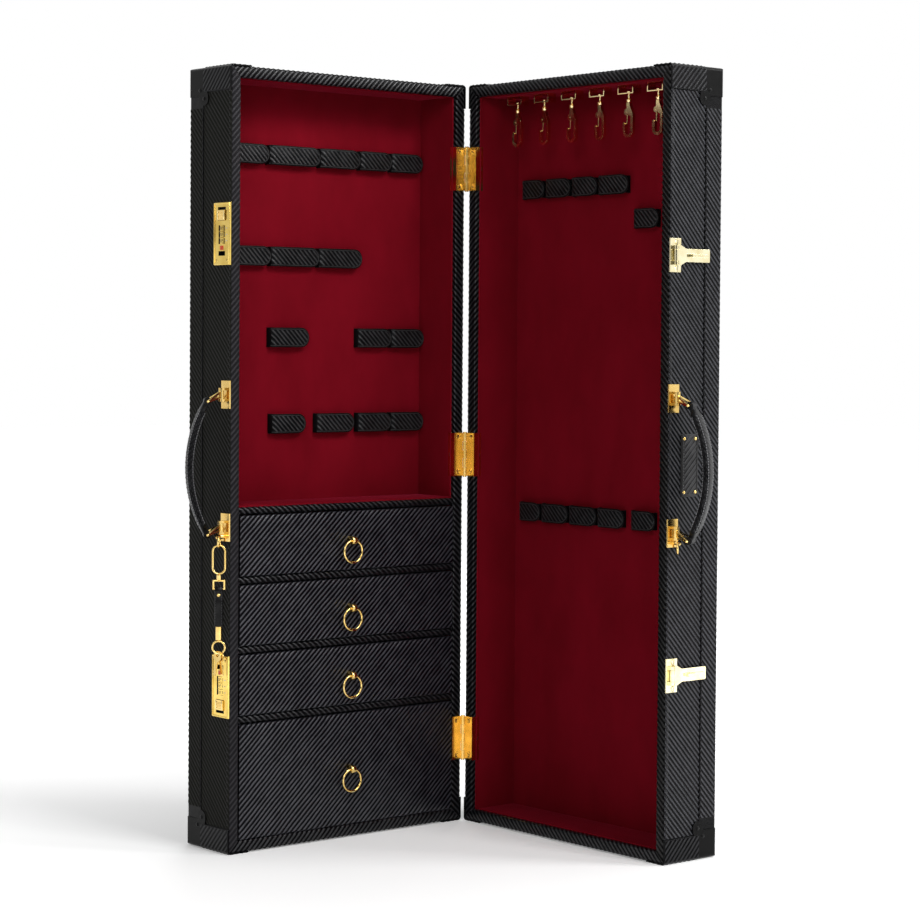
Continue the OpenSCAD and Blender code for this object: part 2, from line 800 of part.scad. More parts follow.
module lock_button(n) {
    top = side_1 + lock_t + button_proud;
    color(gold) at_lock(n) difference() {
        block([side_1 - button_deep, lock_mid_d - button_w / 2, button_z - button_h / 2],
            [top, lock_mid_d + button_w / 2, button_z + button_h / 2]);
        for (k = [-2 : 2]) translate([0, 0, button_z + k * groove_pitch])
            block([top - groove_deep, lock_mid_d - button_w / 2 + 2, -groove_w / 2],
                [top + past, lock_mid_d + button_w / 2 - 2, groove_w / 2]);
    }
}

// A hasp's fixed base: plate, two knuckles and pin, with its two screws
module hasp_base(z) {
    difference() {
        union() {
            block([side_1, hasp_base_d, z - hasp_base_h / 2],
                [side_1 + hasp_base_t, hasp_base_d + hasp_base_w, z + hasp_base_h / 2]);
            for (s = [-1, 1]) translate([side_1, hasp_pivot_d, z + s * knuckle_off]) {
                translate([hasp_mid, 0, 0]) cylinder(h = knuckle_l, r = hasp_barrel_r, center = true);
                translate([0, -hasp_barrel_r, -knuckle_l / 2]) cube([hasp_mid, 2 * hasp_barrel_r, knuckle_l]);
            }
        }
        for (s = [-1, 1]) on_side(hasp_screw[0], z + s * hasp_screw[1], -past)
            cylinder(h = hasp_base_t + 2 * past, r = shank_r + shank_gap);
    }
    translate([side_1 + hasp_mid, hasp_pivot_d, z]) cylinder(h = hasp_barrel_l + 1, r = pin_r, center = true);
    for (s = [-1, 1]) on_side(hasp_screw[0], z + s * hasp_screw[1]) {
        cylinder(h = hasp_base_t + 0.4, r = shank_r);
        translate([0, 0, hasp_base_t]) cylinder(h = 0.9, r1 = hasp_screw_r, r2 = hasp_screw_r - 0.8);
    }
}

module hasp_bases() {
    color(gold) for (z = hasp_zs) hasp_base(z);
}

// Outline of a hasp, from its pivot to its tip: barrel strip, wide shoulders and tongue
module hasp_outline() {
    upper = [
        [0, hasp_barrel_l / 2], [hasp_neck, hasp_barrel_l / 2], [hasp_neck, hasp_wide],
        [hasp_shoulder[0], hasp_wide], [hasp_shoulder[1], hasp_w / 2], [hasp_l - 1, hasp_w / 2],
        [hasp_l, hasp_w / 2 - 1]
    ];
    lower = [for (i = [len(upper) - 1 : -1 : 0]) [upper[i][0], -upper[i][1]]];
    polygon(concat(upper, lower));
}

module hasp(n) {
    tip = hasp_pivot_d + hasp_l;
    color(gold) translate([side_1 + hasp_mid, 0, hasp_zs[n]]) difference() {
        union() {
            translate([0, hasp_pivot_d, 0]) cylinder(h = hasp_barrel_l, r = hasp_barrel_r, center = true);
            translate([-hasp_t / 2, hasp_pivot_d, 0]) rotate([90, 0, 90]) linear_extrude(hasp_t) hasp_outline();
            block([0, catch_from, -catch_w / 2], [hasp_t / 2 + catch_h, catch_from + catch_l, catch_w / 2]);
            block([0, catch_from + catch_l, -catch_w / 2], [hasp_t / 2 + 1, tip - 4, catch_w / 2]);
        }
        translate([0, hasp_pivot_d, 0]) cylinder(h = hasp_barrel_l + past, r = pin_r + turn_gap, center = true);
    }
}

// A handle mount: plate, two ears and the pin between them
module handle_mount(z) {
    ear_off = (link_barrel_l + ear_t) / 2 + 0.2;
    block([side_1, mount_mid_d - mount_w / 2, z - mount_h / 2],
        [side_1 + mount_t, mount_mid_d + mount_w / 2, z + mount_h / 2]);
    for (s = [-1, 1]) translate([side_1, mount_mid_d, z + s * ear_off]) {
        translate([pivot_out, 0, 0]) cylinder(h = ear_t, r = link_barrel_r, center = true);
        translate([0, -link_barrel_r, -ear_t / 2]) cube([pivot_out, 2 * link_barrel_r, ear_t]);
    }
    translate([side_1 + pivot_out, mount_mid_d, z])
        cylinder(h = link_barrel_l + 1, r = handle_pin_r, center = true);
}

module at_key_pivot() {
    translate([side_1 + key_out, key_d, key_z]) rotate([0, 0, key_angle]) children();
}

// The stub under the lower mount, with the eye that the hanging ring passes through
module ring_eye() {
    difference() {
        on_side(key_d, key_z) cylinder(h = key_out + eye_stub_r, r = eye_stub_r);
        at_key_pivot() rotate([90, 0, 0]) cylinder(h = 12 * eye_r, r = eye_bore_r, center = true);
    }
}

module handle_mounts() {
    color(gold) {
        for (z = mount_zs) handle_mount(z);
        ring_eye();
    }
}

module right_mounts() {
    handle_mounts();
    color(gold) hanging_ring();
}

// Turned about the pivots, so that X points along the grip's reach and Y across its width
module at_handle() {
    translate([side_1 + pivot_out, mount_mid_d, mid_z]) rotate([0, 0, handle_swing]) children();
}

// The grip's curved band from a given reach outwards
module grip_band(from) {
    intersection() {
        translate([grip_mid - grip_r, 0]) difference() {
            circle(grip_r + handle_t / 2, $fn = 180);
            circle(grip_r - handle_t / 2, $fn = 180);
        }
        translate([from, -mount_off]) square([handle_reach, 2 * mount_off]);
    }
}

module handle_grip() {
    color(leather) at_handle() translate([0, 0, -link_drop]) rotate([90, 0, 0]) difference() {
        union() {
            linear_extrude(handle_w, center = true) grip_band(link_l + 0.5);
            linear_extrude(2 * lug_half, center = true) {
                grip_band(link_l - 1);
                for (s = [-1, 1]) translate([link_l, s * mount_off]) circle(grip_end_r);
            }
        }
        for (s = [-1, 1]) translate([link_l, s * mount_off, 0])
            cylinder(h = handle_w + 1, r = link_wire_r + 0.1, center = true);
    }
}

// One flat arm of a handle link: a slim triangle with a window, from the barrel down to the bar
module link_arm(side) {
    low = -link_arm_rise[0];
    high = link_arm_rise[1];
    end = [arm_l, -link_drop];
    fall = (high - end[1] - arm_tip) / arm_l;
    rise = (low - end[1] + arm_tip) / arm_l;
    from = link_barrel_r + 1.4;
    translate([0, side * link_start, 0]) rotate([0, 0, side * atan(arm_slope)]) rotate([90, 0, 0])
        linear_extrude(arm_t, center = true) difference() {
            polygon([[0, low], [end[0], end[1] - arm_tip], [end[0], end[1] + arm_tip], [0, high]]);
            polygon([
                [from, low + arm_band - rise * from], [from, high - arm_band - fall * from],
                [0.74 * arm_l, (low + high - 0.74 * (high + low + 2 * link_drop)) / 2]
            ]);
        }
}

module handle_links() {
    color(gold) at_handle() for (s = [-1, 1]) translate([0, 0, s * mount_off]) difference() {
        union() {
            cylinder(h = link_barrel_l, r = link_barrel_r, center = true);
            for (side = [-1, 1]) {
                link_arm(side);
                translate([link_l, side * bar_half, -link_drop]) sphere(link_wire_r + 0.2);
            }
            translate([link_l, 0, -link_drop]) rotate([90, 0, 0])
                cylinder(h = 2 * bar_half, r = link_wire_r, center = true);
        }
        cylinder(h = link_barrel_l + past, r = handle_pin_r + turn_gap, center = true);
    }
}

// Cross-section of one loop strap, along the back panel
module loop_outline(length) {
    chord = length - 2 * loop_foot;
    rise = loop_rise - loop_t / 2;
    r = (chord * chord / 4 + rise * rise) / 2 / rise;
    intersection() {
        translate([length / 2, rise - r]) difference() {
            circle(r + loop_t / 2);
            circle(r - loop_t / 2);
        }
        square([length, loop_rise]);
    }
    for (x = [0, length - loop_foot - loop_t / 2])
        translate([x, 0]) square([loop_foot + loop_t / 2, loop_t]);
}

// Loops from a list on a plan whose lower edge and height on the back panel are given
module tool_loops(list, from, plan_h) {
    wide = (in_1 - in_0) / plan_w;
    tall = (in_top - from) / plan_h;
    color(leather) for (loop = list)
        translate([in_0 + loop[1] * wide + loop_gap / 2, in_back, from + loop[0] * tall - loop_h / 2])
            mirror([0, 1, 0]) linear_extrude(loop_h) loop_outline((loop[2] - loop[1]) * wide - loop_gap);
}

module left_loops() {
    tool_loops(left_loop_list, bays[0][1] + board_t, left_plan_h);
}

module right_loops() {
    tool_loops(right_loop_list, in_base, right_plan_h);
}

module name_tag() {
    low = mid_z - tag_h / 2;
    color(leather) block([side_1, tag_from, low], [side_1 + tag_t, tag_from + tag_w, low + tag_h]);
    color(gold) for (d = [4, tag_w - 4], z = [5, tag_h - 5])
        on_side(tag_from + d, low + z, tag_t) rivet();
}

function hook_u(n) = in_0 + hook_from_hinge + n * hook_pitch;

module hook_brackets() {
    color(gold) for (n = [0 : hook_count - 1]) translate([hook_u(n), hook_d, in_top - bracket_h]) difference() {
        translate([-bracket_w / 2, -bracket_d / 2, 0]) cube([bracket_w, bracket_d, bracket_h]);
        translate([-bracket_w / 2 + bracket_t, -bracket_d, bracket_t])
            cube([bracket_w - 2 * bracket_t, 2 * bracket_d, bracket_h - 2 * bracket_t]);
        translate([0, 0, -past]) cylinder(h = bracket_t + 2 * past, r = swivel_r + turn_gap);
    }
}

// Hook frame: X along the rim, Y down from the swivel ball, Z through the hook
module at_hook(n) {
    translate([hook_u(n), hook_d, ball_z]) rotate([-90, 0, 0]) children();
}

// The swivel ball of a hook, with its pin and the pin's head inside the bracket
module hook_swivel() {
    head_z = ball_drop + bracket_t + 0.2;
    sphere(ball_r);
    cylinder(h = head_z, r = swivel_r);
    translate([0, 0, head_z]) cylinder(h = swivel_head[1], r = swivel_head[0]);
}

// Outline of a hook: shank, boss of the gate, spine, bend and beak
module hook_outline() {
    spine = [bend_inner_r, bend_r];
    tip_r = (bend_r - bend_inner_r) / 2;
    polygon([
        [-1.8, 1], [1.8, 1], [3, 6], [spine[1], 15], [spine[1], hook_bend_s],
        [spine[0], hook_bend_s], [spine[0], 17], [1.2, 16], [-2, 9]
    ]);
    translate(gate_pivot) circle(gate_boss_r);
    difference() {
        translate([0, hook_bend_s]) circle(bend_r);
        translate([0, hook_bend_s]) circle(bend_inner_r);
        translate([-bend_r - past, hook_bend_s - bend_r - past]) square([2 * (bend_r + past), bend_r + past]);
    }
    translate([-spine[1], gate_end[1]]) square([spine[1] - spine[0], hook_bend_s - gate_end[1]]);
    translate([-spine[0] - tip_r, gate_end[1]]) circle(tip_r);
}

module snap_hook(n) {
    color(gold) {
        translate([hook_u(n), hook_d, ball_z]) hook_swivel();
        at_hook(n) difference() {
            linear_extrude(hook_t, center = true) hook_outline();
            translate([gate_pivot[0], gate_pivot[1], 0]) {
                cylinder(h = gate_t + 0.3, r = gate_head_r + 0.9, center = true);
                cylinder(h = hook_t + past, r = gate_pin_r + turn_gap, center = true);
            }
        }
    }
}

module hook_gate(n) {
    run = gate_end - gate_pivot;
    color(gold) at_hook(n) translate([gate_pivot[0], gate_pivot[1], 0]) {
        cylinder(h = gate_t, r = gate_head_r, center = true);
        cylinder(h = hook_t, r = gate_pin_r, center = true);
        rotate([0, 0, atan2(run[1], run[0])]) translate([0, -gate_w / 2, -gate_t / 2])
            cube([norm(run), gate_w, gate_t]);
    }
}

// A ring of wire in the plane across the swing, hanging in its eye
module hanging_ring() {
    at_key_pivot() translate([0, 0, -drop_r]) rotate([0, 90, 0])
        rotate_extrude() translate([drop_r, 0]) circle(key_wire_r);
}

// A closed link of wire in the plane of the swing
module oval_link(upper, lower, half, r) {
    for (end = [[upper, 0], [lower, 180]])
        translate([0, 0, -end[0]]) rotate([90, end[1], 0]) rotate_extrude(angle = 180)
            translate([half, 0]) circle(r);
    for (side = [-1, 1])
        translate([side * half, 0, -lower]) cylinder(h = lower - upper, r = r);
}

// A square loop of wire that holds the end of the strap
module strap_clip(top, bottom) {
    for (side = [-1, 1]) {
        translate([side * clip_half, 0, -bottom]) cylinder(h = bottom - top, r = key_wire_r);
        for (z = [top, bottom]) translate([side * clip_half, 0, -z]) sphere(key_wire_r);
    }
    for (z = [top, bottom])
        translate([-clip_half, 0, -z]) rotate([0, 90, 0]) cylinder(h = 2 * clip_half, r = key_wire_r);
}

// A small flat key that hangs from the end ring, leaning to one side
module hanging_key(lean) {
    hole = key_bow_r - key_bore_r - 1.3;
    hang = key_bore_r - key_wire_r - 0.3;
    end = -key_bow_r - key_blade[1];
    translate([0, 0, -end_ring_z]) rotate([0, lean, 0]) translate([0, 0, -end_ring_r - hang])
        rotate([90, 0, 90 + key_turn]) difference() {
            translate([0, -hole, 0]) linear_extrude(key_t, center = true) {
                circle(key_bow_r);
                translate([-key_blade[0] / 2, end]) square([key_blade[0], key_blade[1] + 1]);
                for (k = [0 : 2]) translate([0, end + 1 + 2.8 * k]) square([key_blade[0] / 2 + 1.2, 1.6]);
            }
            cylinder(h = key_t + past, r = key_bore_r, center = true);
        }
}

module key_strap_hardware() {
    color(gold) {
        hanging_ring();
        at_key_pivot() {
            oval_link(link_upper, link_lower, link_half, key_wire_r);
            translate([0, 0, -swivel_top - swivel_l]) cylinder(h = swivel_l, r = collar_r);
            strap_clip(clip_top + key_wire_r, clip_top + clip_h - key_wire_r);
            translate([0, 0, -strap_end - snap_l - 0.2]) cylinder(h = snap_l, r = snap_r);
            translate([0, 0, -end_ring_z]) rotate([90, 0, 0])
                rotate_extrude() translate([end_ring_r, 0]) circle(key_wire_r);
            for (lean = [-key_lean, key_lean]) hanging_key(lean);
        }
    }
}

module key_strap() {
    color(leather) at_key_pivot() difference() {
        translate([-strap_w / 2, -strap_t, -strap_end]) cube([strap_w, 2 * strap_t, strap_l]);
        translate([-clip_half, 0, -(clip_top + clip_h - key_wire_r)]) rotate([0, 90, 0])
            cylinder(h = 2 * clip_half, r = key_wire_r + 0.15);
    }
}

left_half() shell() lock_pockets();  // left_shell
left_half() rim();  // left_rim
left_half() leather_trim();  // left_leather_trim
left_half() corner_caps();  // left_corner_caps
left_half() fasteners();  // left_fasteners
left_half() lining();  // left_lining
left_half() shelves();  // drawer_shelves
left_half() left_loops();
left_half() hinge_leaves(0);  // left_hinge_leaves
left_half() pins();  // hinge_pins
left_half() lock_plates();
left_half() handle_mounts();  // left_handle_mounts
left_half() handle_grip();  // left_handle_grip
left_half() handle_links();  // left_handle_links
left_half() drawer(0);  // drawer_1
left_half() drawer(1);  // drawer_2
left_half() drawer(2);  // drawer_3
left_half() drawer(3);  // drawer_4
left_half() pull_ring(0);  // pull_ring_1
left_half() pull_ring(1);  // pull_ring_2
left_half() pull_ring(2);  // pull_ring_3
left_half() pull_ring(3);  // pull_ring_4
left_half() dial(0, 0);  // upper_dial_1
left_half() dial(0, 1);  // upper_dial_2
left_half() dial(0, 2);  // upper_dial_3
left_half() dial(1, 0);  // lower_dial_1
left_half() dial(1, 1);  // lower_dial_2
left_half() dial(1, 2);  // lower_dial_3
left_half() lock_button(0);  // upper_lock_button
left_half() lock_button(1);  // lower_lock_button
left_half() key_strap_hardware();
left_half() key_strap();
right_half() shell();  // right_shell
right_half() rim();  // right_rim
right_half() leather_trim();  // right_leather_trim
right_half() corner_caps();  // right_corner_caps
right_half() fasteners();  // right_fasteners
right_half() lining();  // right_lining
right_half() right_loops();
right_half() hinge_leaves(1);  // right_hinge_leaves
right_half() hook_brackets();
right_half() hasp_bases();
right_half() right_mounts();  // right_handle_mounts
right_half() handle_grip();  // right_handle_grip
right_half() handle_links();  // right_handle_links
right_half() name_tag();
right_half() hasp(0);  // upper_hasp
right_half() hasp(1);  // lower_hasp
right_half() snap_hook(0);  // snap_hook_1
right_half() snap_hook(1);  // snap_hook_2
right_half() snap_hook(2);  // snap_hook_3
right_half() snap_hook(3);  // snap_hook_4
right_half() snap_hook(4);  // snap_hook_5
right_half() snap_hook(5);  // snap_hook_6
right_half() hook_gate(0);  // hook_gate_1
right_half() hook_gate(1);  // hook_gate_2
right_half() hook_gate(2);  // hook_gate_3
right_half() hook_gate(3);  // hook_gate_4
right_half() hook_gate(4);  // hook_gate_5
right_half() hook_gate(5);  // hook_gate_6
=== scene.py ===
"""Looks of the upright organiser case: leather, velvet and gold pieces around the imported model."""
import math
from math import cos, pi, radians, sin, sqrt

import bmesh
import bpy
from mathutils import Matrix, Vector, noise


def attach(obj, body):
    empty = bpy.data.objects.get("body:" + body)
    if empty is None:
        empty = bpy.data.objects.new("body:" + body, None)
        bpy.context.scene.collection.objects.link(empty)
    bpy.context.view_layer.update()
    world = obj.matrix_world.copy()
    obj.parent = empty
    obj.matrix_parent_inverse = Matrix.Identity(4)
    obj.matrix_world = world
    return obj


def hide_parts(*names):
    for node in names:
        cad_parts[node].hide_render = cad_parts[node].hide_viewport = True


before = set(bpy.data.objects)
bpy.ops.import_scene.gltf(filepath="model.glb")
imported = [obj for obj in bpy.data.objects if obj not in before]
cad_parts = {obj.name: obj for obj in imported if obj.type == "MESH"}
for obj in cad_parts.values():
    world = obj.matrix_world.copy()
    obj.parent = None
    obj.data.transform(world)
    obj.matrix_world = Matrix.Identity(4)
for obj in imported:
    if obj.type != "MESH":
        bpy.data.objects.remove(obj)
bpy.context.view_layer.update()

# Sizes of the model, in millimetres, in the frame of one half:
# u runs from the hinge axis along the rim, d back from the meeting plane, z up
MM = 0.001
AXIS = 148.2035
SIDE_0 = 2.8
SIDE_1 = 328.8
BASE = 1.6
TOP = 848.4
MID = 425.0
CASE_H = 850.0
CASE_D = 79.0
CORNER_T = 1.6
CAP_H = 44.0
BINDING_T = 0.8
BINDING_W = 25.0
TRIM_FROM = CASE_D - BINDING_W
PATCH_H = 25.0
RIM_FRONT = 1.2
RIM_BACK = 7.2
IN_0 = 14.8
IN_1 = 316.8
IN_BASE = 13.6
IN_TOP = 836.4
IN_BACK = 66.5
BAYS = [(299.5, 366.5), (224.0, 291.0), (148.5, 215.5), (13.6, 140.0)]
BOARD_T = 8.5
DRAWER_MID = 165.8
DRAWER_FACE = 1.5
HASP_ZS = [648.0, 202.0]
HINGE_ZS = [96.0, 425.0, 754.0]
RIB_PITCH = 4.7
SIDE_PITCH = 4.45

# Height of each lock, and 1 where its button is above the wheels or -1 where it is below
LOCKS = {"upper": (669.0, 1), "lower": (181.0, -1)}
LOCK_D = 16.2
WHEEL_PITCH = 6.8
WHEELS_OFF = -0.8


def left(u, d, z):
    return Vector((AXIS - u, AXIS + d, z)) * MM


def right(u, d, z):
    return Vector((AXIS + d, AXIS - u, z)) * MM


HALVES = {"left": left, "right": right}


# Materials

def add_node(tree, kind, **properties):
    node = tree.nodes.new("ShaderNode" + kind)
    for key, value in properties.items():
        setattr(node, key, value)
    return node


def link(source, output, target, socket):
    source.id_data.links.new(source.outputs[output], target.inputs[socket])


def set_inputs(node, values):
    for key, value in values.items():
        node.inputs[key].default_value = value


def new_material(name, colour, roughness, metallic=0.0):
    mat = bpy.data.materials.new(name)
    mat.use_nodes = True
    mat.diffuse_color = (*colour, 1)
    shader = mat.node_tree.nodes["Principled BSDF"]
    set_inputs(shader, {"Base Color": (*colour, 1), "Roughness": roughness, "Metallic": metallic})
    return mat, mat.node_tree, shader


def noise_node(tree, scale, detail, roughness=0.55, stretch=(1, 1, 1)):
    node = add_node(tree, "TexNoise")
    set_inputs(node, {"Scale": scale, "Detail": detail, "Roughness": roughness})
    mapping = add_node(tree, "Mapping")
    mapping.inputs["Scale"].default_value = stretch
    link(add_node(tree, "TexCoord"), "Object", mapping, "Vector")
    link(mapping, "Vector", node, "Vector")
    return node


def ramp(source, output, stops, shader, socket="Base Color"):
    """Colours a shader by a value, with two stops."""
    node = add_node(shader.id_data, "ValToRGB")
    for element, (place, colour) in zip(node.color_ramp.elements, stops):
        element.position = place
        element.color = (*colour, 1)
    link(source, output, node, "Fac")
    link(node, "Color", shader, socket)


def map_range(source, output, low, high, start=0.0, end=1.0, kind="LINEAR"):
    """Takes a value from between start and end to between low and high."""
    node = add_node(source.id_data, "MapRange", interpolation_type=kind)
    link(source, output, node, "Value")
    set_inputs(node, {"From Min": start, "From Max": end, "To Min": low, "To Max": high})
    return node


def bump(source, shader, strength, distance, before=None):
    node = add_node(shader.id_data, "Bump")
    set_inputs(node, {"Strength": strength, "Distance": distance})
    link(source, "Fac", node, "Height")
    if before:
        link(before, "Normal", node, "Normal")
    link(node, "Normal", shader, "Normal")
    return node


def leather(name, groove, crest, roughness=0.36, grain=0.25, gloss=0.3):
    """Embossed leather: its colour is painted darker in the grooves and lighter on the crests, as painted
    shade and painted light, with random wear mixed in, and a fine grain lies over all.
    """
    mat, tree, shader = new_material(name, crest, roughness)
    shader.inputs["Specular IOR Level"].default_value = gloss
    wear = noise_node(tree, 90, 5)
    total = add_node(tree, "Math", operation="ADD")
    link(add_node(tree, "Attribute", attribute_name="rib"), "Fac", total, 0)
    link(map_range(wear, "Fac", -0.35, 0.35), "Result", total, 1)
    # Painted shade in the grooves and painted light on the crests, by rib height, with random wear mixed
    # in
    ramp(total, "Value", [(0.32, groove), (0.95, crest)], shader)
    # The reflection is tinted dark in the grooves: painted shade
    ramp(total, "Value", [(0.3, (0.03, 0.03, 0.03)), (0.85, (1, 1, 1))], shader, "Specular Tint")
    rough = map_range(wear, "Fac", roughness - 0.08, roughness + 0.12)
    link(rough, "Result", shader, "Roughness")
    coarse = bump(noise_node(tree, 160, 4, 0.6), shader, grain, 0.0008)
    bump(noise_node(tree, 900, 3, 0.6), shader, grain, 0.0003, before=coarse)
    return mat


def velvet():
    mat, tree, shader = new_material("red_velvet", (0.16, 0.003, 0.009), 0.9)
    set_inputs(shader, {"Sheen Weight": 0.3, "Sheen Roughness": 0.3, "Specular IOR Level": 0.03})
    shader.inputs["Sheen Tint"].default_value = (0.9, 0.05, 0.13, 1)
    nap = noise_node(tree, 22, 4, 0.6, stretch=(1, 1, 0.5))
    ramp(nap, "Fac", [(0.3, (0.14, 0.0025, 0.0075)), (0.7, (0.18, 0.0035, 0.0105))], shader)
    bump(noise_node(tree, 2200, 2, 0.7), shader, 0.35, 0.0003)
    return mat


def gold(name, colour, roughness, hammer=0.0):
    """Polished metal with a trace of tarnish; hammer makes its surface wavier."""
    mat, tree, shader = new_material(name, colour, roughness, 1.0)
    dull = (colour[0] * 0.82, colour[1] * 0.76, colour[2] * 0.6)
    ramp(noise_node(tree, 60, 4), "Fac", [(0.3, dull), (0.62, colour)], shader)
    rough = map_range(noise_node(tree, 500, 3, 0.6), "Fac", roughness * 0.6, roughness * 1.8)
    link(rough, "Result", shader, "Roughness")
    bump(noise_node(tree, 60, 2), shader, 0.03 + hammer, 0.0006)
    return mat


def speckled(name, colour, roughness, scale, detail, strength):
    mat, tree, shader = new_material(name, colour, roughness)
    bump(noise_node(tree, scale, detail), shader, strength, 0.0002)
    return mat


# Colour in the grooves (painted shade), colour on the crests (painted light), and where they differ
# roughness, grain and gloss
LEATHERS = {
    "panel": ((0.001, 0.001, 0.0014), (0.021, 0.022, 0.028), 0.33, 0.25, 0.4),
    # A darker, duller copy for the left half: painted shade
    "left_painted_shade": ((0.0105, 0.0105, 0.009), (0.0155, 0.0155, 0.014), 0.42, 0.25, 0.05),
    # A darker copy: painted shade on the right half's outer rim and in the gaps between the drawers
    "painted_shade_dark": ((0.002, 0.002, 0.002), (0.007, 0.007, 0.007)),
    "trim": ((0.001, 0.001, 0.0014), (0.018, 0.018, 0.021), 0.33, 0.25, 0.4),
    # A darker copy for the corner patches: painted shade
    "patch": ((0.001, 0.001, 0.0012), (0.012, 0.012, 0.0145), 0.38, 0.25, 0.2),
    "edge": ((0.012, 0.0115, 0.013), (0.02, 0.019, 0.022), 0.42, 0.2, 0.2),
    # A lighter copy for the drawer fronts: painted light on the crests
    "drawer": ((0.001, 0.001, 0.002), (0.04, 0.04, 0.05), 0.32, 0.25, 0.6),
    "smooth": ((0.003, 0.003, 0.0033), (0.006, 0.006, 0.007), 0.4, 0.15, 0.14),
    "loop": ((0.0007, 0.0007, 0.0007), (0.026, 0.026, 0.028), 0.34, 0.3),
    "loop_edge": ((0.025, 0.025, 0.025), (0.04, 0.039, 0.041), 0.4, 0.3),
    "strap": ((0.001, 0.001, 0.001), (0.013, 0.013, 0.015), 0.4, 0.3, 0.2),
    "key": ((0.001, 0.001, 0.001), (0.002, 0.002, 0.002), 0.2, 0.06, 0.5),
}
# Colour, roughness, and the extra waviness of the surface
GOLDS = {
    "gold": ((0.93, 0.68, 0.25), 0.16),
    "pale_gold": ((0.95, 0.8, 0.42), 0.12),
    "mount_gold": ((0.88, 0.62, 0.22), 0.14, 0.1),
    "hinge_gold": ((0.96, 0.66, 0.22), 0.15, -0.02),
    "hook_gold": ((1.0, 0.76, 0.42), 0.12, 0.03),
    "hasp_gold": ((0.97, 0.9, 0.62), 0.12),
    "lock_gold": ((0.85, 0.62, 0.17), 0.12, 0.02),
}
M = {name: leather(name + "_leather", *values) for name, values in LEATHERS.items()}
M.update({name: gold(name + "_metal", *values) for name, values in GOLDS.items()})
M["cap"] = leather("cap_metal", (0.005, 0.005, 0.005), (0.007, 0.007, 0.0072), 0.3, 0.06, 0.2)
M["velvet"] = velvet()
TWIST = (3000, 2, 0.5)
SPECKS = (700, 3, 0.15)
M["thread"] = speckled("thread", (0.22, 0.22, 0.23), 0.7, *TWIST)
M["dark_thread"] = speckled("dark_thread", (0.012, 0.012, 0.014), 0.7, *TWIST)
M["black"] = speckled("black_enamel", (0.006, 0.006, 0.006), 0.35, *SPECKS)
M["red_dot"] = speckled("red_enamel", (0.7, 0.07, 0.012), 0.5, *SPECKS)
M["white"] = speckled("white_enamel", (0.6, 0.58, 0.52), 0.35, *SPECKS)


# Making meshes

def add_object(name, data):
    obj = bpy.data.objects.new(name, data)
    bpy.context.scene.collection.objects.link(obj)
    return obj


def add_piece(name, mesh, body, replaces):
    obj = add_object(name, mesh)
    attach(obj, body)
    if replaces:
        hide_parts(*replaces)


class Builder:
    """Collects vertices and faces in one half's frame, in millimetres."""

    def __init__(self, half="left"):
        self.half = half
        self.verts = []
        self.heights = []
        self.faces = []
        self.marks = []
        self.mark = 0

    def use(self, mark):
        """The faces that follow get this number in the list of materials."""
        self.mark = mark
        return self

    def add(self, verts, faces, heights=None):
        start = len(self.verts)
        self.verts += [tuple(v) for v in verts]
        self.heights += heights or [0.5] * len(verts)
        self.faces += [tuple(start + i for i in face) for face in faces]
        self.marks += [self.mark] * len(faces)

    def make(self, name, materials, replaces=(), body=None):
        """Makes the piece. It rides on its half's case, or on the body that is named."""
        place = HALVES[self.half]
        faces = self.faces
        if self.half == "left":
            faces = [face[::-1] for face in faces]
        mesh = bpy.data.meshes.new(name)
        mesh.from_pydata([place(*v) for v in self.verts], [], faces)
        attribute = mesh.attributes.new("rib", "FLOAT", "POINT")
        attribute.data.foreach_set("value", self.heights)
        for mat in materials:
            mesh.materials.append(M[mat])
        for polygon, mark in zip(mesh.polygons, self.marks):
            polygon.material_index = mark
            polygon.use_smooth = True
        mesh.set_sharp_from_angle(angle=radians(40))
        mesh.validate()
        add_piece(name, mesh, body or self.half + "_case", replaces)


def facing(verts, faces, out):
    """The faces, turned over if the first one looks against a direction."""
    p, q, r = (Vector(verts[i]) for i in faces[0][:3])
    if (q - p).cross(r - q).dot(out) < 0:
        return [face[::-1] for face in faces]
    return faces


def clip(points, axis_x, axis_y, limit):
    """Keeps the part of a convex polygon beyond a line."""
    result = []
    for a, b in zip(points, points[1:] + points[:1]):
        va = a[0] * axis_x + a[1] * axis_y - limit
        vb = b[0] * axis_x + b[1] * axis_y - limit
        if va >= -1e-9:
            result.append(a)
        if (va > 1e-9 and vb < -1e-9) or (va < -1e-9 and vb > 1e-9):
            f = va / (va - vb)
            result.append((a[0] + (b[0] - a[0]) * f, a[1] + (b[1] - a[1]) * f))
    return result


# One rib: places across it and heights there, both from 0 to 1
RIB = [(0.0, 0.0), (0.18, 0.1), (0.34, 0.75), (0.5, 1.0), (0.66, 0.75), (0.82, 0.1), (1.0, 0.0)]


def rib_height(level):
    """Height at a level that is counted in ribs."""
    part = level - math.floor(level)
    height = 0.0
    for (s0, h0), (s1, h1) in zip(RIB, RIB[1:]):
        if s0 <= part <= s1:
            height = h0 + (h1 - h0) * (part - s0) / (s1 - s0)
    return height


def border_of(faces):
    """The edges that only one face has, in that face's direction."""
    edges = {}
    for face in faces:
        for a, b in zip(face, face[1:] + face[:1]):
            key = (min(a, b), max(a, b))
            edges[key] = None if key in edges else (a, b)
    return [pair for pair in edges.values() if pair]


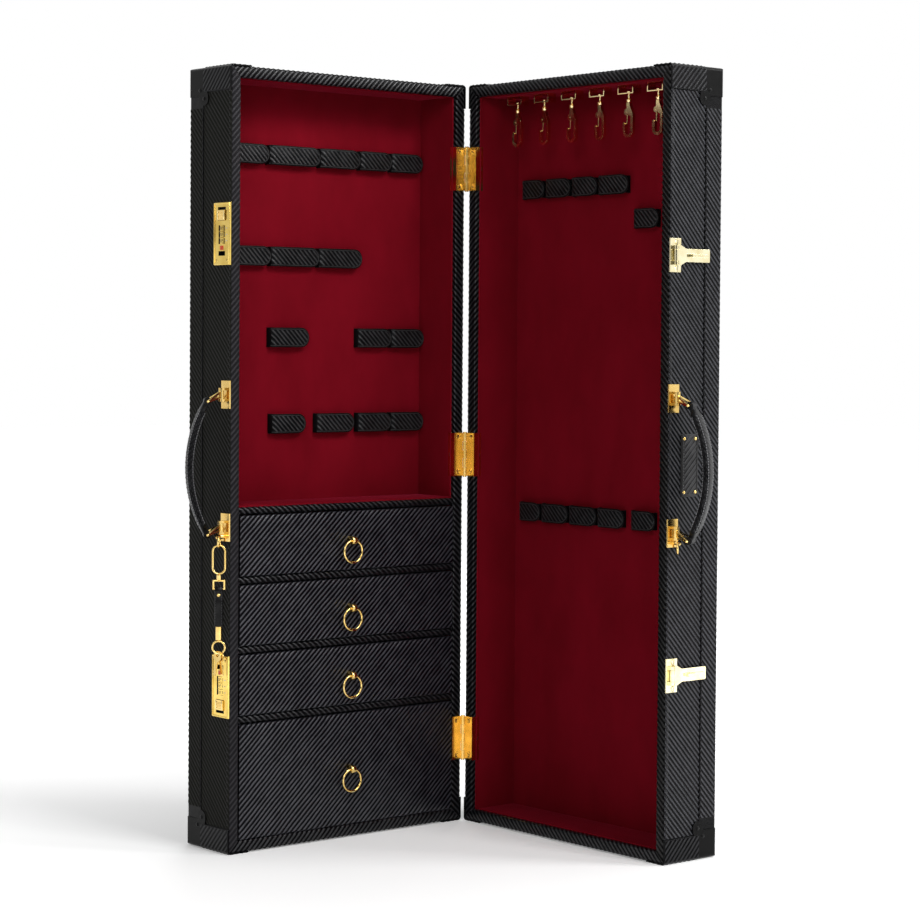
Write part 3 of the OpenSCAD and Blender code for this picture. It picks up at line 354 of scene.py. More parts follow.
def ribbed(
    builder, rows, slant, place, relief=0.65, base=0.05, skirt=0.5, pitch=RIB_PITCH, warp=0.0, seed=0
):
    """A ribbed surface: rows of (y, lowest x, highest x), cut along the ribs and raised.

    place takes x, y and a height over the surface. slant is the ribs' direction in degrees.
    The border is folded down to the depth of the skirt, and warp lets the ribs wander."""
    ax = -sin(radians(slant))
    ay = cos(radians(slant))
    levels = [x * ax + y * ay for y, x0, x1 in rows for x in (x0, x1)]
    ribs = range(math.floor(min(levels) / pitch) - 1, math.ceil(max(levels) / pitch) + 1)
    cuts = [(k + step) * pitch for k in ribs for step, _ in RIB[:-1]]
    found = {}
    verts = []
    faces = []
    for (y0, a0, b0), (y1, a1, b1) in zip(rows, rows[1:]):
        band = [(a0, y0), (b0, y0), (b1, y1), (a1, y1)]
        values = [x * ax + y * ay for x, y in band]
        low, high = min(values), max(values)
        for t0, t1 in zip(cuts, cuts[1:]):
            if t1 <= low or t0 >= high:
                continue
            face = []
            for x, y in clip(clip(band, ax, ay, t0), -ax, -ay, -t1):
                key = (round(x, 4), round(y, 4))
                if key not in found:
                    found[key] = len(verts)
                    verts.append((x, y))
                if found[key] not in face:
                    face.append(found[key])
            if len(face) >= 3:
                faces.append(face)
    heights = [rib_height((x * ax + y * ay) / pitch) for x, y in verts]
    border = border_of(faces)
    on_border = {i for pair in border for i in pair}
    placed = []
    for i, (x, y) in enumerate(verts):
        if warp and i not in on_border:
            shift = warp * noise.noise(Vector((x * 0.035, y * 0.05, seed)))
            x, y = x + ax * shift, y + ay * shift
        placed.append(Vector(place(x, y, base + relief * heights[i])))
    under = {}
    for i in sorted(on_border):
        under[i] = len(placed)
        placed.append(Vector(place(*verts[i], -skirt)))
        heights.append(0.0)
    faces += [[b, a, under[a], under[b]] for a, b in border]
    x, y = verts[0]
    out = Vector(place(x, y, 1.0)) - Vector(place(x, y, 0.0))
    builder.add(placed, facing(placed, faces, out), heights)


def rectangle(y0, y1, x0, x1, step=None):
    """Rows of (y, lowest x, highest x)."""
    count = 1 if step is None else max(1, round((y1 - y0) / step))
    return [(y0 + (y1 - y0) * i / count, x0, x1) for i in range(count + 1)]


def arc(x, y, radius, start, end, count):
    """Points on an arc around x, y, between two angles in degrees."""
    turns = [radians(start + (end - start) * i / count) for i in range(count + 1)]
    return [(x + radius * cos(a), y + radius * sin(a)) for a in turns]


def circle(radius, count):
    return arc(0, 0, radius, 0, 360, count)[:-1]


def ring_points(width, height, radius, segments):
    """A rectangle with round corners around the origin."""
    x, y = width / 2 - radius, height / 2 - radius
    points = []
    for sx, sy, start in [(1, 1, 0), (-1, 1, 90), (-1, -1, 180), (1, -1, 270)]:
        points += arc(sx * x, sy * y, radius, start, start + 90, segments)
    return points


def in_plane(outline, centre, first, second):
    """An outline's points around a centre, in the plane of two directions."""
    return [centre + first * x + second * y for x, y in outline]


def sweep(builder, sections):
    """Joins rings of 3-D points into a tube with closed ends."""
    count = len(sections[0])
    last = (len(sections) - 1) * count
    faces = []
    for a in range(0, last, count):
        for j in range(count):
            k = (j + 1) % count
            faces.append((a + j, a + k, a + count + k, a + count + j))
    faces.append(tuple(range(count))[::-1])
    faces.append(tuple(range(last, last + count)))
    verts = [point for section in sections for point in section]
    centre = sum((Vector(point) for point in sections[0]), Vector((0, 0, 0))) / count
    builder.add(verts, facing(verts, faces, Vector(verts[0]) - centre))


def span(middle, reach):
    return middle - reach, middle + reach


def slab(builder, u, d, z, radius=0.8):
    """A block between two ends each way, with round edges along its longest side."""
    low, high = (Vector(corner) for corner in zip(u, d, z))
    size = high - low
    axis = max(range(3), key=lambda i: size[i])
    a, b = [i for i in range(3) if i != axis]
    radius = min(radius, size[a] * 0.45, size[b] * 0.45)
    axes = [Vector((1, 0, 0)), Vector((0, 1, 0)), Vector((0, 0, 1))]
    ends = [(0.0, radius), (radius * 0.3, radius * 0.3), (radius, 0.0)]
    stops = ends + [(size[axis] - x, inset) for x, inset in reversed(ends)]
    sections = []
    for depth, inset in stops:
        corner = max(radius - inset * 0.5, 0.05)
        outline = ring_points(size[a] - 2 * inset, size[b] - 2 * inset, corner, 2)
        centre = (low + high) / 2
        centre[axis] = low[axis] + depth
        sections.append(in_plane(outline, centre, axes[a], axes[b]))
    sweep(builder, sections)


def sweep_along(builder, path, outline, side):
    """Sweeps an outline along a path; side is the direction of the outline's width."""
    path = [Vector(point) for point in path]
    sections = []
    for i, point in enumerate(path):
        forward = (path[min(i + 1, len(path) - 1)] - path[max(i - 1, 0)]).normalized()
        side = (side - forward * side.dot(forward)).normalized()
        sections.append(in_plane(outline, point, side, forward.cross(side)))
    sweep(builder, sections)


def distances(path):
    """How far along a path each of its points lies."""
    runs = [0.0]
    for p, q in zip(path, path[1:]):
        runs.append(runs[-1] + math.dist(p, q))
    return runs


def stretch_at(runs, run):
    """The stretch of a path at a distance along it, and how far along that stretch, from 0 to 1."""
    i = max(k for k in range(len(runs) - 1) if runs[k] <= run + 1e-6)
    return i, (run - runs[i]) / (runs[i + 1] - runs[i])


def strap(builder, path, up, width, thickness):
    """A flat strap with rounded edges; up is the direction of its width."""
    sweep_along(builder, path, ring_points(width, thickness, thickness * 0.42, 3), Vector(up))


def tube(builder, path, radius, count):
    start = Vector(path[1]) - Vector(path[0])
    sweep_along(builder, path, circle(radius, count), start.orthogonal())


# One stitch: places along it, thickness and height there, as parts of its length and radius
STITCH = [(-0.5, 0.35, -0.6), (-0.36, 0.9, 0.25), (0.0, 1.0, 0.55), (0.36, 0.9, 0.25), (0.5, 0.35, -0.6)]


def stitch(builder, point, run, normal, length, radius):
    """A short thread that dips into the leather at both ends."""
    run = run.normalized()
    normal = Vector(normal).normalized()
    sections = []
    for t, thick, rise in STITCH:
        centre = point + run * t * length + normal * rise * radius
        sections.append(in_plane(circle(radius * thick, 6), centre, run.cross(normal), normal))
    sweep(builder, sections)


def seam(builder, start, end, normal, pitch, length, radius):
    """A row of stitches between two points."""
    run = Vector(end) - Vector(start)
    count = max(1, int(run.length / pitch))
    for i in range(count):
        point = Vector(start) + run * ((i + 0.5) / count)
        stitch(builder, point, run, normal, length, radius)


def dome(builder, centre, out, radius, height, rings=4, count=16):
    """A domed rivet head on a face, with its foot sunk a little into it."""
    out = Vector(out)
    first = out.orthogonal().normalized()
    stops = [(1.0, -0.3), (1.0, 0.0)]
    for i in range(1, rings + 1):
        a = pi / 2 * i / (rings + 0.4)
        stops.append((cos(a), height * sin(a)))
    sections = []
    for part, rise in stops:
        outline = circle(radius * part, count)
        sections.append(in_plane(outline, Vector(centre) + out * rise, first, out.cross(first)))
    sweep(builder, sections)


def screw(b, centre, out, radius, height):
    """A countersunk screw head with its slot, painted black as shade."""
    dome(b.use(1), centre, out, radius, height, 3, 20)
    screw_slot(b.use(2), centre, out, radius, height)


def screw_slot(b, centre, out, radius, height):
    """The slot of a screw head, drawn as a black bar: painted shade in the recess. It doesn't stand quite
    upright.
    """
    out = Vector(out)
    first = out.orthogonal().normalized()
    second = out.cross(first)
    tilt = 0.6
    along = (first * cos(tilt) + second * sin(tilt)) * radius * 0.82
    across = out.cross(along).normalized() * 0.3
    corners = []
    for rise in (0.0, height * 1.02):
        for s, t in ((-1, -1), (1, -1), (1, 1), (-1, 1)):
            corners.append(Vector(centre) + along * s + across * t + out * rise)
    b.add(corners, [(0, 3, 2, 1), (4, 5, 6, 7), (0, 1, 5, 4), (1, 2, 6, 5), (2, 3, 7, 6), (3, 0, 4, 7)])


def flat_normals(mesh):
    """Normals weighted by area, so that flat faces stay flat between their rounded edges."""
    around = [[] for _ in mesh.vertices]
    for polygon in mesh.polygons:
        for vertex in polygon.vertices:
            around[vertex].append((polygon.normal.copy(), polygon.area))
    normals = []
    for polygon in mesh.polygons:
        for vertex in polygon.vertices:
            near = [n * area for n, area in around[vertex] if n.dot(polygon.normal) > 0.6]
            normals.append(sum(near, Vector((0, 0, 0))).normalized())
    mesh.normals_split_custom_set(normals)


def refined(node, body, material, bevel, dark=None):
    """A copy of a node's mesh with its edges rounded, which replaces the node.

    dark tells from a face's middle whether it is painted black as shade."""
    bm = bmesh.new()
    bm.from_mesh(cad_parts[node].data)
    bmesh.ops.remove_doubles(bm, verts=bm.verts, dist=2e-6)
    bmesh.ops.dissolve_limit(bm, angle_limit=radians(1.5), verts=bm.verts, edges=bm.edges)
    sharp = radians(32)
    edges = [e for e in bm.edges if len(e.link_faces) == 2 and e.calc_face_angle(0) > sharp]
    bmesh.ops.bevel(
        bm, geom=edges, offset=bevel * MM, segments=2, profile=0.5,
        affect="EDGES", clamp_overlap=True, material=-1,
    )
    mesh = bpy.data.meshes.new(node + "_round")
    bm.to_mesh(mesh)
    bm.free()
    mesh.materials.clear()
    mesh.materials.append(M[material])
    mesh.materials.append(M["black"])
    for polygon in mesh.polygons:
        polygon.use_smooth = True
        polygon.material_index = 1 if dark and dark(polygon.center) else 0
    flat_normals(mesh)
    add_piece(node + "_round", mesh, body, [node])


def paint(node, material):
    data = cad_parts[node].data
    data.materials.clear()
    data.materials.append(M[material])


# Faces of one half, as place functions of two coordinates and a height

def on_side(base):
    return lambda d, z, h: (SIDE_1 + base + h, d, z)


def on_hinge_side(base):
    return lambda d, z, h: (SIDE_0 - base - h, d, z)


def on_back(base):
    return lambda u, z, h: (u, CASE_D + base + h, z)


def on_top(base):
    return lambda u, d, h: (u, d, TOP + base + h)


def on_floor_side(base):
    return lambda u, d, h: (u, d, BASE - base - h)


# Leather over the outside of each half

PANEL_FRONT = RIM_BACK - 5.2
PANEL_END = TRIM_FROM - 0.6
BINDING = (TRIM_FROM + 1.6, CASE_D - 1.2)
POCKET_H = 30.4
POCKET_FRONT = RIM_BACK - 0.4
POCKET_BACK = LOCK_D + 9.4


def around_locks(zs, low, high):
    """A side panel in rectangles that leave out the pockets of the locks at these heights."""
    parts = []
    for z in zs:
        parts.append((low, z - POCKET_H, PANEL_FRONT, PANEL_END))
        parts.append((z - POCKET_H, z + POCKET_H, PANEL_FRONT, POCKET_FRONT))
        parts.append((z - POCKET_H, z + POCKET_H, POCKET_BACK, PANEL_END))
        low = z + POCKET_H
    return parts + [(low, high, PANEL_FRONT, PANEL_END)]


def case_leather(half):
    """Ribs run down to the right on each face seen from outside, and the other way on the patches."""
    b = Builder(half)
    turn = 1 if half == "left" else -1
    cap_low, cap_high = CAP_H, CASE_H - CAP_H
    margin = 1.2
    low, high = PATCH_H + BASE + 0.8, TOP - PATCH_H - 0.8

    def cover(mark, area, slant, place, **more):
        ribbed(b.use(mark), rectangle(*area), slant, place, **more)

    # The side at the locks, and the one at the hinges
    more = {"pitch": SIDE_PITCH, "relief": 0.55}
    for place, lean in ((on_side, 47 * turn), (on_hinge_side, -47 * turn)):
        zs = sorted(z for z, _ in LOCKS.values()) if half == "left" and place is on_side else []
        for area in around_locks(zs, low, high):
            cover(0, area, lean, place(0.0), **more)
        cover(0, (cap_low, cap_high, *BINDING), lean, place(BINDING_T), **more)
        for y0, y1 in ((BASE + 1.0, low - 1.8), (high + 1.8, TOP - 1.0)):
            cover(2, (y0, y1, PANEL_FRONT, PANEL_END), -lean, place(CORNER_T), relief=0.4)
        spot = place(BINDING_T)
        out = Vector(spot(0, 0, 1)) - Vector(spot(0, 0, 0))
        ends = [spot(TRIM_FROM + 0.9, z, 0.1) for z in (cap_low, cap_high)]
        seam(b.use(1), *ends, out, 4.2, 2.6, 0.3)
        spot = place(CORNER_T)
        for y in (low - 1.3, high + 1.3):
            ends = [spot(d, y, 0.1) for d in (PANEL_FRONT + 1, PANEL_END - 1)]
            seam(b, *ends, out, 3.4, 2.3, 0.25)

    # The back, with the binding around it
    lean = -45 * turn
    edge = BINDING_W + 0.6
    inner_0, inner_1 = SIDE_0 + edge, SIDE_1 - edge
    cover(0, (BASE + edge, TOP - edge, inner_0, inner_1), lean, on_back(0.0))
    for x0, x1 in ((SIDE_0 + margin, inner_0 - 2.2), (inner_1 + 2.2, SIDE_1 - margin)):
        cover(0, (cap_low, cap_high, x0, x1), lean, on_back(BINDING_T))

    # The top and the floor, between and on the corner patches
    between = SIDE_0 + 27, SIDE_1 - 27
    patch_w = 25.4
    for place in (on_top, on_floor_side):
        cover(0, (PANEL_FRONT, PANEL_END, *between), lean, place(0.0))
        cover(0, (*BINDING, *between), lean, place(BINDING_T))
        for x0, x1 in ((SIDE_0 + margin, SIDE_0 + patch_w), (SIDE_1 - patch_w, SIDE_1 - margin)):
            cover(0, (PANEL_FRONT, PANEL_END, x0, x1), -lean, place(CORNER_T))
    for y in (BASE + margin, TOP - BINDING_W + 1.8):
        area = (y, y + BINDING_W - 3.0, SIDE_0 + CAP_H + 1, SIDE_1 - CAP_H - 1)
        cover(0, area, lean, on_back(BINDING_T))
    # The left half is in a darker, duller copy of the panel leather: painted shade on the half away from
    # the lamps
    panel = "left_painted_shade" if half == "left" else "panel"
    b.make(half + "_case_leather", [panel, "dark_thread", "patch"])


# The leather wrapped frame around the mouth

def rim_profile():
    """Distances run across the frame, and (distance in, depth, direction out) there."""
    outer_r = 2.0
    inner_r = 1.6
    width = 12.0
    back = 5.6
    points = [(0.0, back, -1, 0)]
    points += [(outer_r + outer_r * x, outer_r + outer_r * y, x, y) for x, y in arc(0, 0, 1, 180, 270, 4)]
    points.append((width / 2, -0.12, 0, -1))
    for x, y in arc(0, 0, 1, 270, 360, 3):
        points.append((width - inner_r + inner_r * x, inner_r + inner_r * y, x, y))
    points.append((width, back, 1, 0))
    return distances([point[:2] for point in points]), [Vector(point) for point in points]


def across_rim(runs, points, run):
    """The distance in, the depth and the direction out at a distance across the frame."""
    i, part = stretch_at(runs, run)
    x, y, *out = points[i].lerp(points[i + 1], part)
    return x, y, Vector(out).normalized()


def rim(half):
    """The left half's outer side has lower ribs in a lighter leather; the right half's is painted dark as
    shade, with a painted highlight line along its corner.
    """
    b = Builder(half)
    runs, points = rim_profile()
    sides = [
        (BASE, TOP, lambda a, s, d: (SIDE_1 - s, d, a), 45),
        (BASE, TOP, lambda a, s, d: (SIDE_0 + s, d, a), 45),
        (SIDE_0, SIDE_1, lambda a, s, d: (a, d, TOP - s), 45),
        (SIDE_0, SIDE_1, lambda a, s, d: (a, d, BASE + s), -45),
    ]
    for low, high, where, slant in sides:
        rows = [(run, low + point[0], high - point[0]) for run, point in zip(runs, points)]

        def place(x, y, h):
            s, d, out = across_rim(runs, points, y)
            return where(x, s + out[0] * h, RIM_FRONT + 0.25 + d + out[1] * h)

        outer = where is sides[0][2]
        flatter_lighter = half == "left" and outer
        # The left half's outer side is lighter with lower ribs; the right half's is painted dark as shade
        b.use(1 if flatter_lighter else 2 if outer else 0)
        ribbed(b, rows, slant, place, relief=0.22 if flatter_lighter else 0.5, base=-0.1, skirt=0.3)
    # A lighter line along the right half's outer corner: a painted highlight
    if half == "right":
        ends = [(SIDE_1 + 0.15, RIM_FRONT + 2.6, z) for z in (BASE + 24, TOP - 24)]
        tube(b.use(1), ends, 0.55, 8)
    b.make(half + "_rim_leather", ["trim", "edge", "painted_shade_dark"], [half + "_rim"])


# Boards between the drawers, wrapped so that their front edges look like rope

def boards():
    b = Builder()
    half_h = BOARD_T / 2 - 0.1
    deep = 4.2
    for _, base in BAYS:
        middle = base + BOARD_T / 2

        def place(x, y, h):
            a = radians(y / half_h * 60)
            d = RIM_FRONT + 0.5 + deep - (deep + h) * cos(a)
            return x, d, middle + (half_h + h) * sin(a)

        rows = [(half_h * 1.5 * i / 5, IN_0 + 0.2, IN_1 - 0.2) for i in range(-5, 6)]
        ribbed(b.use(0), rows, 43, place, relief=0.5, base=-0.35, skirt=1.0, pitch=5.0)
        # The board's body behind its rope front is in the darker copy: painted shade in the gaps between
        # the drawers
        u, z = (IN_0 + 0.1, IN_1 - 0.1), (base + 0.05, base + BOARD_T - 0.05)
        slab(b.use(1), u, (5.6, IN_BACK - 0.1), z, 0.5)
    top = BAYS[0][1] + BOARD_T
    u, d = (IN_0 + 0.6, IN_1 - 0.6), (RIM_FRONT + 3.5, IN_BACK - 0.2)
    slab(b.use(2), u, d, (top - 0.6, top + 1.2), 0.9)
    b.make("drawer_boards", ["trim", "painted_shade_dark", "velvet"], ["drawer_shelves"])


# Drawers

def drawer(n):
    b = Builder()
    low = BAYS[n][0] + 0.3
    high = BAYS[n][1] - 0.7
    u0, u1 = IN_0 + 1.3, IN_1 - 1.3
    r = 1.6
    bend = r * pi / 2
    face_end = bend + high - low - 2 * r
    folded = 5.0

    def place(x, y, h):
        """The front's leather, from under the drawer over the face and back over the top edge."""
        if y < 0:
            return x, DRAWER_FACE + r - y, low - h
        if y < bend:
            a = y / r
            return x, DRAWER_FACE + r - (r + h) * sin(a), low + r - (r + h) * cos(a)
        if y <= face_end:
            return x, DRAWER_FACE - h, low + r + y - bend
        y -= face_end
        if y < bend:
            a = y / r
            return x, DRAWER_FACE + r - (r + h) * cos(a), high - r + (r + h) * sin(a)
        return x, DRAWER_FACE + r + y - bend, high + h

    stops = [-folded, 0, bend / 3, 2 * bend / 3]
    count = max(2, round((face_end - bend) / 9))
    stops += [bend + (face_end - bend) * i / count for i in range(count + 1)]
    stops += [face_end + run for run in (bend / 3, 2 * bend / 3, bend, bend + folded)]
    rows = [(y, u0, u1) for y in stops]
    ribbed(b, rows, -43, place, relief=0.5, base=-0.5, skirt=1.4, warp=0.9, seed=n * 7.3)
    wall = 5
    back = IN_BACK - 2.5
    inside = DRAWER_FACE + 7
    wall_z = (low, high - 5)
    slab(b.use(1), (u0 + 0.3, u1 - 0.3), (DRAWER_FACE + 1.6, inside + 1), (low + 0.4, high - 0.5), 0.6)
    slab(b, (u0, u0 + wall), (inside, back), wall_z)
    slab(b, (u1 - wall, u1), (inside, back), wall_z)
    slab(b, (u0 + 1, u1 - 1), (back - wall, back), (low, high - 5.01))
    slab(b, (u0 + 2, u1 - 2), (inside - 2, back - 2), (low, low + 2.6), 0.4)
    slab(b.use(2), (u0 + 4.6, u1 - 4.6), (inside + 0.6, back - 4.6), (low + 2.2, low + 3.6), 0.6)
    post(b.use(3), sum(BAYS[n]) / 2)
    name = "drawer_%d" % (n + 1)
    b.make(name + "_leather", ["drawer", "smooth", "velvet", "gold"], [name], name)


RING_D = DRAWER_FACE - 6.0


def post(b, z):
    """The post of a ring pull, round at the front."""
    sections = []
    foot = DRAWER_FACE + 0.3
    for u, r in ((-3.0, 4.0), (-2.4, 4.5), (2.4, 4.5), (3.0, 4.0)):
        outline = arc(RING_D, z, r, 90, 270, 16) + [(foot, z - r), (foot, z + r)]
        sections.append([(DRAWER_MID + u, d, level) for d, level in outline])
    sweep(b, sections)


def ring_joint(n):
    """The joint where a pull ring's wire is closed."""
    b = Builder()
    ring_r = 12.4
    path = arc(DRAWER_MID, sum(BAYS[n]) / 2 - ring_r, ring_r, -99.6, -80.4, 12)
    tube(b, [(u, RING_D, z) for u, z in path], 1.5, 14)
    name = "ring_%d" % (n + 1)
    b.make("pull_" + name + "_joint", ["pale_gold"], body=name)


# Velvet lining

def sheet(b, corner, along, up, out, counts, seed):
    """Velvet over a board: it swells away from its edges and ripples a little."""
    corner, along, up, out = Vector(corner), Vector(along), Vector(up), Vector(out)
    verts = []
    for j in range(counts[1] + 1):
        for i in range(counts[0] + 1):
            s, t = i / counts[0], j / counts[1]
            edge = min(s * along.length, (1 - s) * along.length, t * up.length, (1 - t) * up.length)
            lift = 0.02 + 0.5 * (1 - math.exp(-edge / 6))
            point = corner + along * s + up * t
            ripple = 0.5 * noise.noise(point * 0.022 + Vector((seed, 0, 0))) * min(edge / 30, 1)
            verts.append(point + out * (lift + max(ripple, -0.2)))
    row = counts[0] + 1
    starts = [j * row + i for j in range(counts[1]) for i in range(counts[0])]
    faces = [(a, a + 1, a + row + 1, a + row) for a in starts]
    b.add(verts, facing(verts, faces, out))


def lining(half):
    """Five sheets, and a piping along the edge of the part that shows."""
    b = Builder(half)
    seed = 3.0 if half == "left" else 9.0
    wide, deep, tall = 26, 8, 66
    w = (IN_1 - IN_0, 0, 0)
    d = (0, IN_BACK - RIM_BACK, 0)
    h = (0, 0, IN_TOP - IN_BASE)
    sheet(b, (IN_0, IN_BACK, IN_BASE), w, h, (0, -1, 0), (wide, tall), seed)
    sheet(b, (IN_0, RIM_BACK, IN_BASE), d, h, (1, 0, 0), (deep, tall), seed)
    sheet(b, (IN_1, RIM_BACK, IN_BASE), d, h, (-1, 0, 0), (deep, tall), seed)
    sheet(b, (IN_0, RIM_BACK, IN_TOP), w, d, (0, 0, -1), (wide, deep), seed)
    sheet(b, (IN_0, RIM_BACK, IN_BASE), w, d, (0, 0, 1), (wide, deep), seed)
    low = BAYS[0][1] + BOARD_T + 1 if half == "left" else IN_BASE + 0.6
    u0, u1, high = IN_0 + 0.6, IN_1 - 0.6, IN_TOP - 0.6
    path = [(u, RIM_BACK + 0.2, z) for u, z in [(u0, low), (u0, high), (u1, high), (u1, low)]]
    if half == "right":
        path.append(path[0])
    for ends in zip(path, path[1:]):
        tube(b, ends, 0.9, 8)
    b.make(half + "_velvet", ["velvet"])


# Tool loops

LOOP_H = 22.0
# Height of each row, and where its loops start and end
LOOPS = {
    "left": [
        (761, [(18, 64), (64, 110), (110, 167), (167, 238), (238, 300)]),
        (648.5, [(107, 168), (168, 235), (235, 300)]),
        (558.5, [(15, 63), (63, 112), (182, 235)]),
        (462, [(15, 63), (63, 111), (117, 170), (186, 233)]),
    ],
    "right": [
        (731, [(30, 70), (70, 114), (114, 158), (158, 208)]),
        (692, [(215, 256)]),
        (359, [(29, 67), (67, 114), (114, 161), (161, 206), (215, 255)]),
    ],
}


def loop_strap(b, z, start, end):
    """One loop: a strap that stands off the lining on two legs, with a round tongue over the second.

    It is ribbed inside a raised line."""
    way = 1 if end > start else -1
    face = IN_BACK - 1.0
    wide = abs(end - start)
    # Distances along the row, and how far the strap stands off the lining there
    bend = [(0.0, 0.0), (0.5, 2.6), (1.3, 5.2), (2.6, 6.9), (4.4, 7.7), (7.0, 8.0)]
    flat = [(7.0 + (wide - 13.0) * i / 8, 8.0 + 0.25 * sin(pi * i / 8)) for i in range(1, 8)]
    path = bend + flat + [(wide - 6.0, 7.9), (wide - 3.0, 7.6), (wide, 7.1)]
    path = [(start + way * run, face - rise) for run, rise in path]
    leg = [(wide - 9.5, 6.6), (wide - 7.6, 6.2), (wide - 6.2, 4.6), (wide - 5.6, 2.4), (wide - 5.2, 0.0)]
    leg = [(start + way * run, face - rise, z) for run, rise in leg]
    strap(b.use(1), leg, (0, 0, 1), LOOP_H - 2.5, 1.6)
    runs = distances(path)
    total = runs[-1]
    half_h = LOOP_H / 2
    radius = half_h * 0.95
    straight = total - radius

    def place(x, y, h):
        """A point at a distance along the strap, over its middle line, and off its face."""
        i, f = stretch_at(runs, min(max(x, 0.0), total))
        (u0, d0), (u1, d1) = path[i], path[i + 1]
        slope = Vector((u1 - u0, d1 - d0)).normalized() * way
        return u0 + (u1 - u0) * f + slope.y * h, d0 + (d1 - d0) * f - slope.x * h, z + y

    def tongue(inset, count, turn):
        """Points up the rounded end, at a distance inside its edge."""
        tall = half_h - inset
        points = []
        for k in range(-count, count + 1):
            y = tall * sin(radians(k * turn))
            in_by = radius * (1 - sqrt(max(0.0, 1 - (y / tall) ** 2)))
            points.append((total - inset - in_by, y))
        return points

    stops = [total * i / 30 for i in range(22)]
    stops = [x for x in stops if x < straight - 0.5]
    stops += [total - radius * (1 - sin(radians(a))) for a in (0, 20, 38, 52, 64, 75, 84)]
    sections = []
    for x in stops:
        over = max(0.0, x - straight) / radius
        w = half_h * sqrt(max(0.0, 1 - over * over))
        ring = ring_points(2 * w, 1.8, min(0.75, w * 0.45), 3)
        sections.append([place(x, y, h) for y, h in ring])
    sweep(b, sections)
    rows = [(y, 6.5, x) for x, y in tongue(2.5, 7, 12)]
    ribbed(b.use(0), rows, -45, place, relief=0.6, base=0.7, skirt=-0.2, pitch=4.3)
    tall = half_h - 1.7
    line = [(5.5 + (straight - 7.2) * i / 12, -tall) for i in range(13)]
    line += tongue(1.7, 8, 10) + [(x, tall) for x, _ in reversed(line)]
    tube(b.use(2), [place(x, y, 1.0) for x, y in line], 0.5, 6)


def loops(half):
    b = Builder(half)
    gap = 0.3
    for z, spans in LOOPS[half]:
        for u0, u1 in spans:
            ends = (u1, u0 + gap) if half == "left" else (u0, u1 - gap)
            loop_strap(b, z, *ends)
    b.make(half + "_loop_straps", ["loop", "smooth", "loop_edge"], [half + "_loops"])


# Carrying handles

MOUNT_D = 9.0
MOUNT_OFF = 71.4
HANDLE_U = SIDE_1 + 7
HANDLE_SWING = radians(30)
GRIP_MIDDLE = -110.3
GRIP_R = 144.3
GRIP_DROP = 7.0
GRIP_W = 11.5
GRIP_T = 3.7
GRIP_GIRTH = 44.0
FOLD_REACH = 15


def at_handle(reach, across, along):
    """A place on a handle, which hangs a little below the middle of its mounts."""
    u = HANDLE_U + reach * cos(HANDLE_SWING) - across * sin(HANDLE_SWING)
    d = MOUNT_D + reach * sin(HANDLE_SWING) + across * cos(HANDLE_SWING)
    return Vector((u, d, MID - GRIP_DROP + along))


def on_grip(r, across, a):
    """A place at a radius and an angle of the grip's curve."""
    return at_handle(GRIP_MIDDLE + r * cos(a), across, r * sin(a))


def around_grip(turn, over=0.0):
    """A point of the grip's cross-section, or over it: (distance across, distance out)."""
    squareness = 0.6
    flatness = 0.35
    c, s = cos(turn), sin(turn)
    across = GRIP_W * math.copysign(abs(c) ** squareness, c)
    crown = 1.12 - 0.12 * (across / GRIP_W) ** 2
    out = GRIP_T * math.copysign(abs(s) ** squareness, s) * crown
    size = math.hypot(c * flatness, s)
    return across + over * c * flatness / size, out + over * s / size


def grip(half):
    b = Builder(half)
    end = math.asin(MOUNT_OFF / GRIP_R)
    count = 40
    sections = []
    for i in range(-count, count + 1):
        f = i / count
        # A third narrower near the ends
        narrow = 1 - 0.34 * min(max((abs(f) - 0.86) / 0.06, 0), 1)
        section = []
        for k in range(28):
            across, out = around_grip(2 * pi * k / 28)
            r = GRIP_R + out * (1 - 0.2 * abs(f) ** 6)
            section.append(on_grip(r, across * narrow, end * f))
        sections.append(section)
    sweep(b, sections)
    for s in (-1, 1):
        # The folded end around the link's bar: places across it, and its radius there
        sections = []
        for across, r in ((-8.4, 3.612), (-7.8, 4.2), (7.8, 4.2), (8.4, 3.612)):
            outline = arc(FOLD_REACH, s * MOUNT_OFF, r, 0, 360, 16)[:-1]
            sections.append([at_handle(x, across, y) for x, y in outline])
        sweep(b, sections)
    edge = end * 0.84
    for first in (0.0, pi):
        # Ribs over one half of the grip's girth, from one edge's middle to the other's
        rows = rectangle(-edge * GRIP_R, edge * GRIP_R, 0.6, GRIP_GIRTH / 2 - 0.6, edge * GRIP_R / 12)

        def place(x, y, h):
            across, out = around_grip(first + pi * x / (GRIP_GIRTH / 2), h)
            return on_grip(GRIP_R + out, across, y / GRIP_R)

        ribbed(b, rows, 45, place, relief=0.5, base=-0.1, skirt=0.6, pitch=4.0)
    steps = 44
    for turn in (0.62, pi - 0.62, pi + 0.62, -0.62):
        # A line of stitches near each edge, over and under
        across, out = around_grip(turn, 0.35)
        turns = [-edge + 2 * edge * i / steps for i in range(steps + 1)]
        line = [on_grip(GRIP_R + out, across, a) for a in turns]
        for a, p, q in zip(turns, line, line[1:]):
            rise = sin(turn)
            normal = at_handle(cos(a) * rise, cos(turn), sin(a) * rise) - at_handle(0, 0, 0)
            stitch(b.use(1), (p + q) / 2, q - p, normal, (q - p).length * 0.72, 0.34)
    name = half + "_handle"
    b.make(name + "_leather", ["strap", "thread"], [name + "_grip"], name)


# Name tag: a ribbed strip of leather with turned edges, a seam and four gold rivets

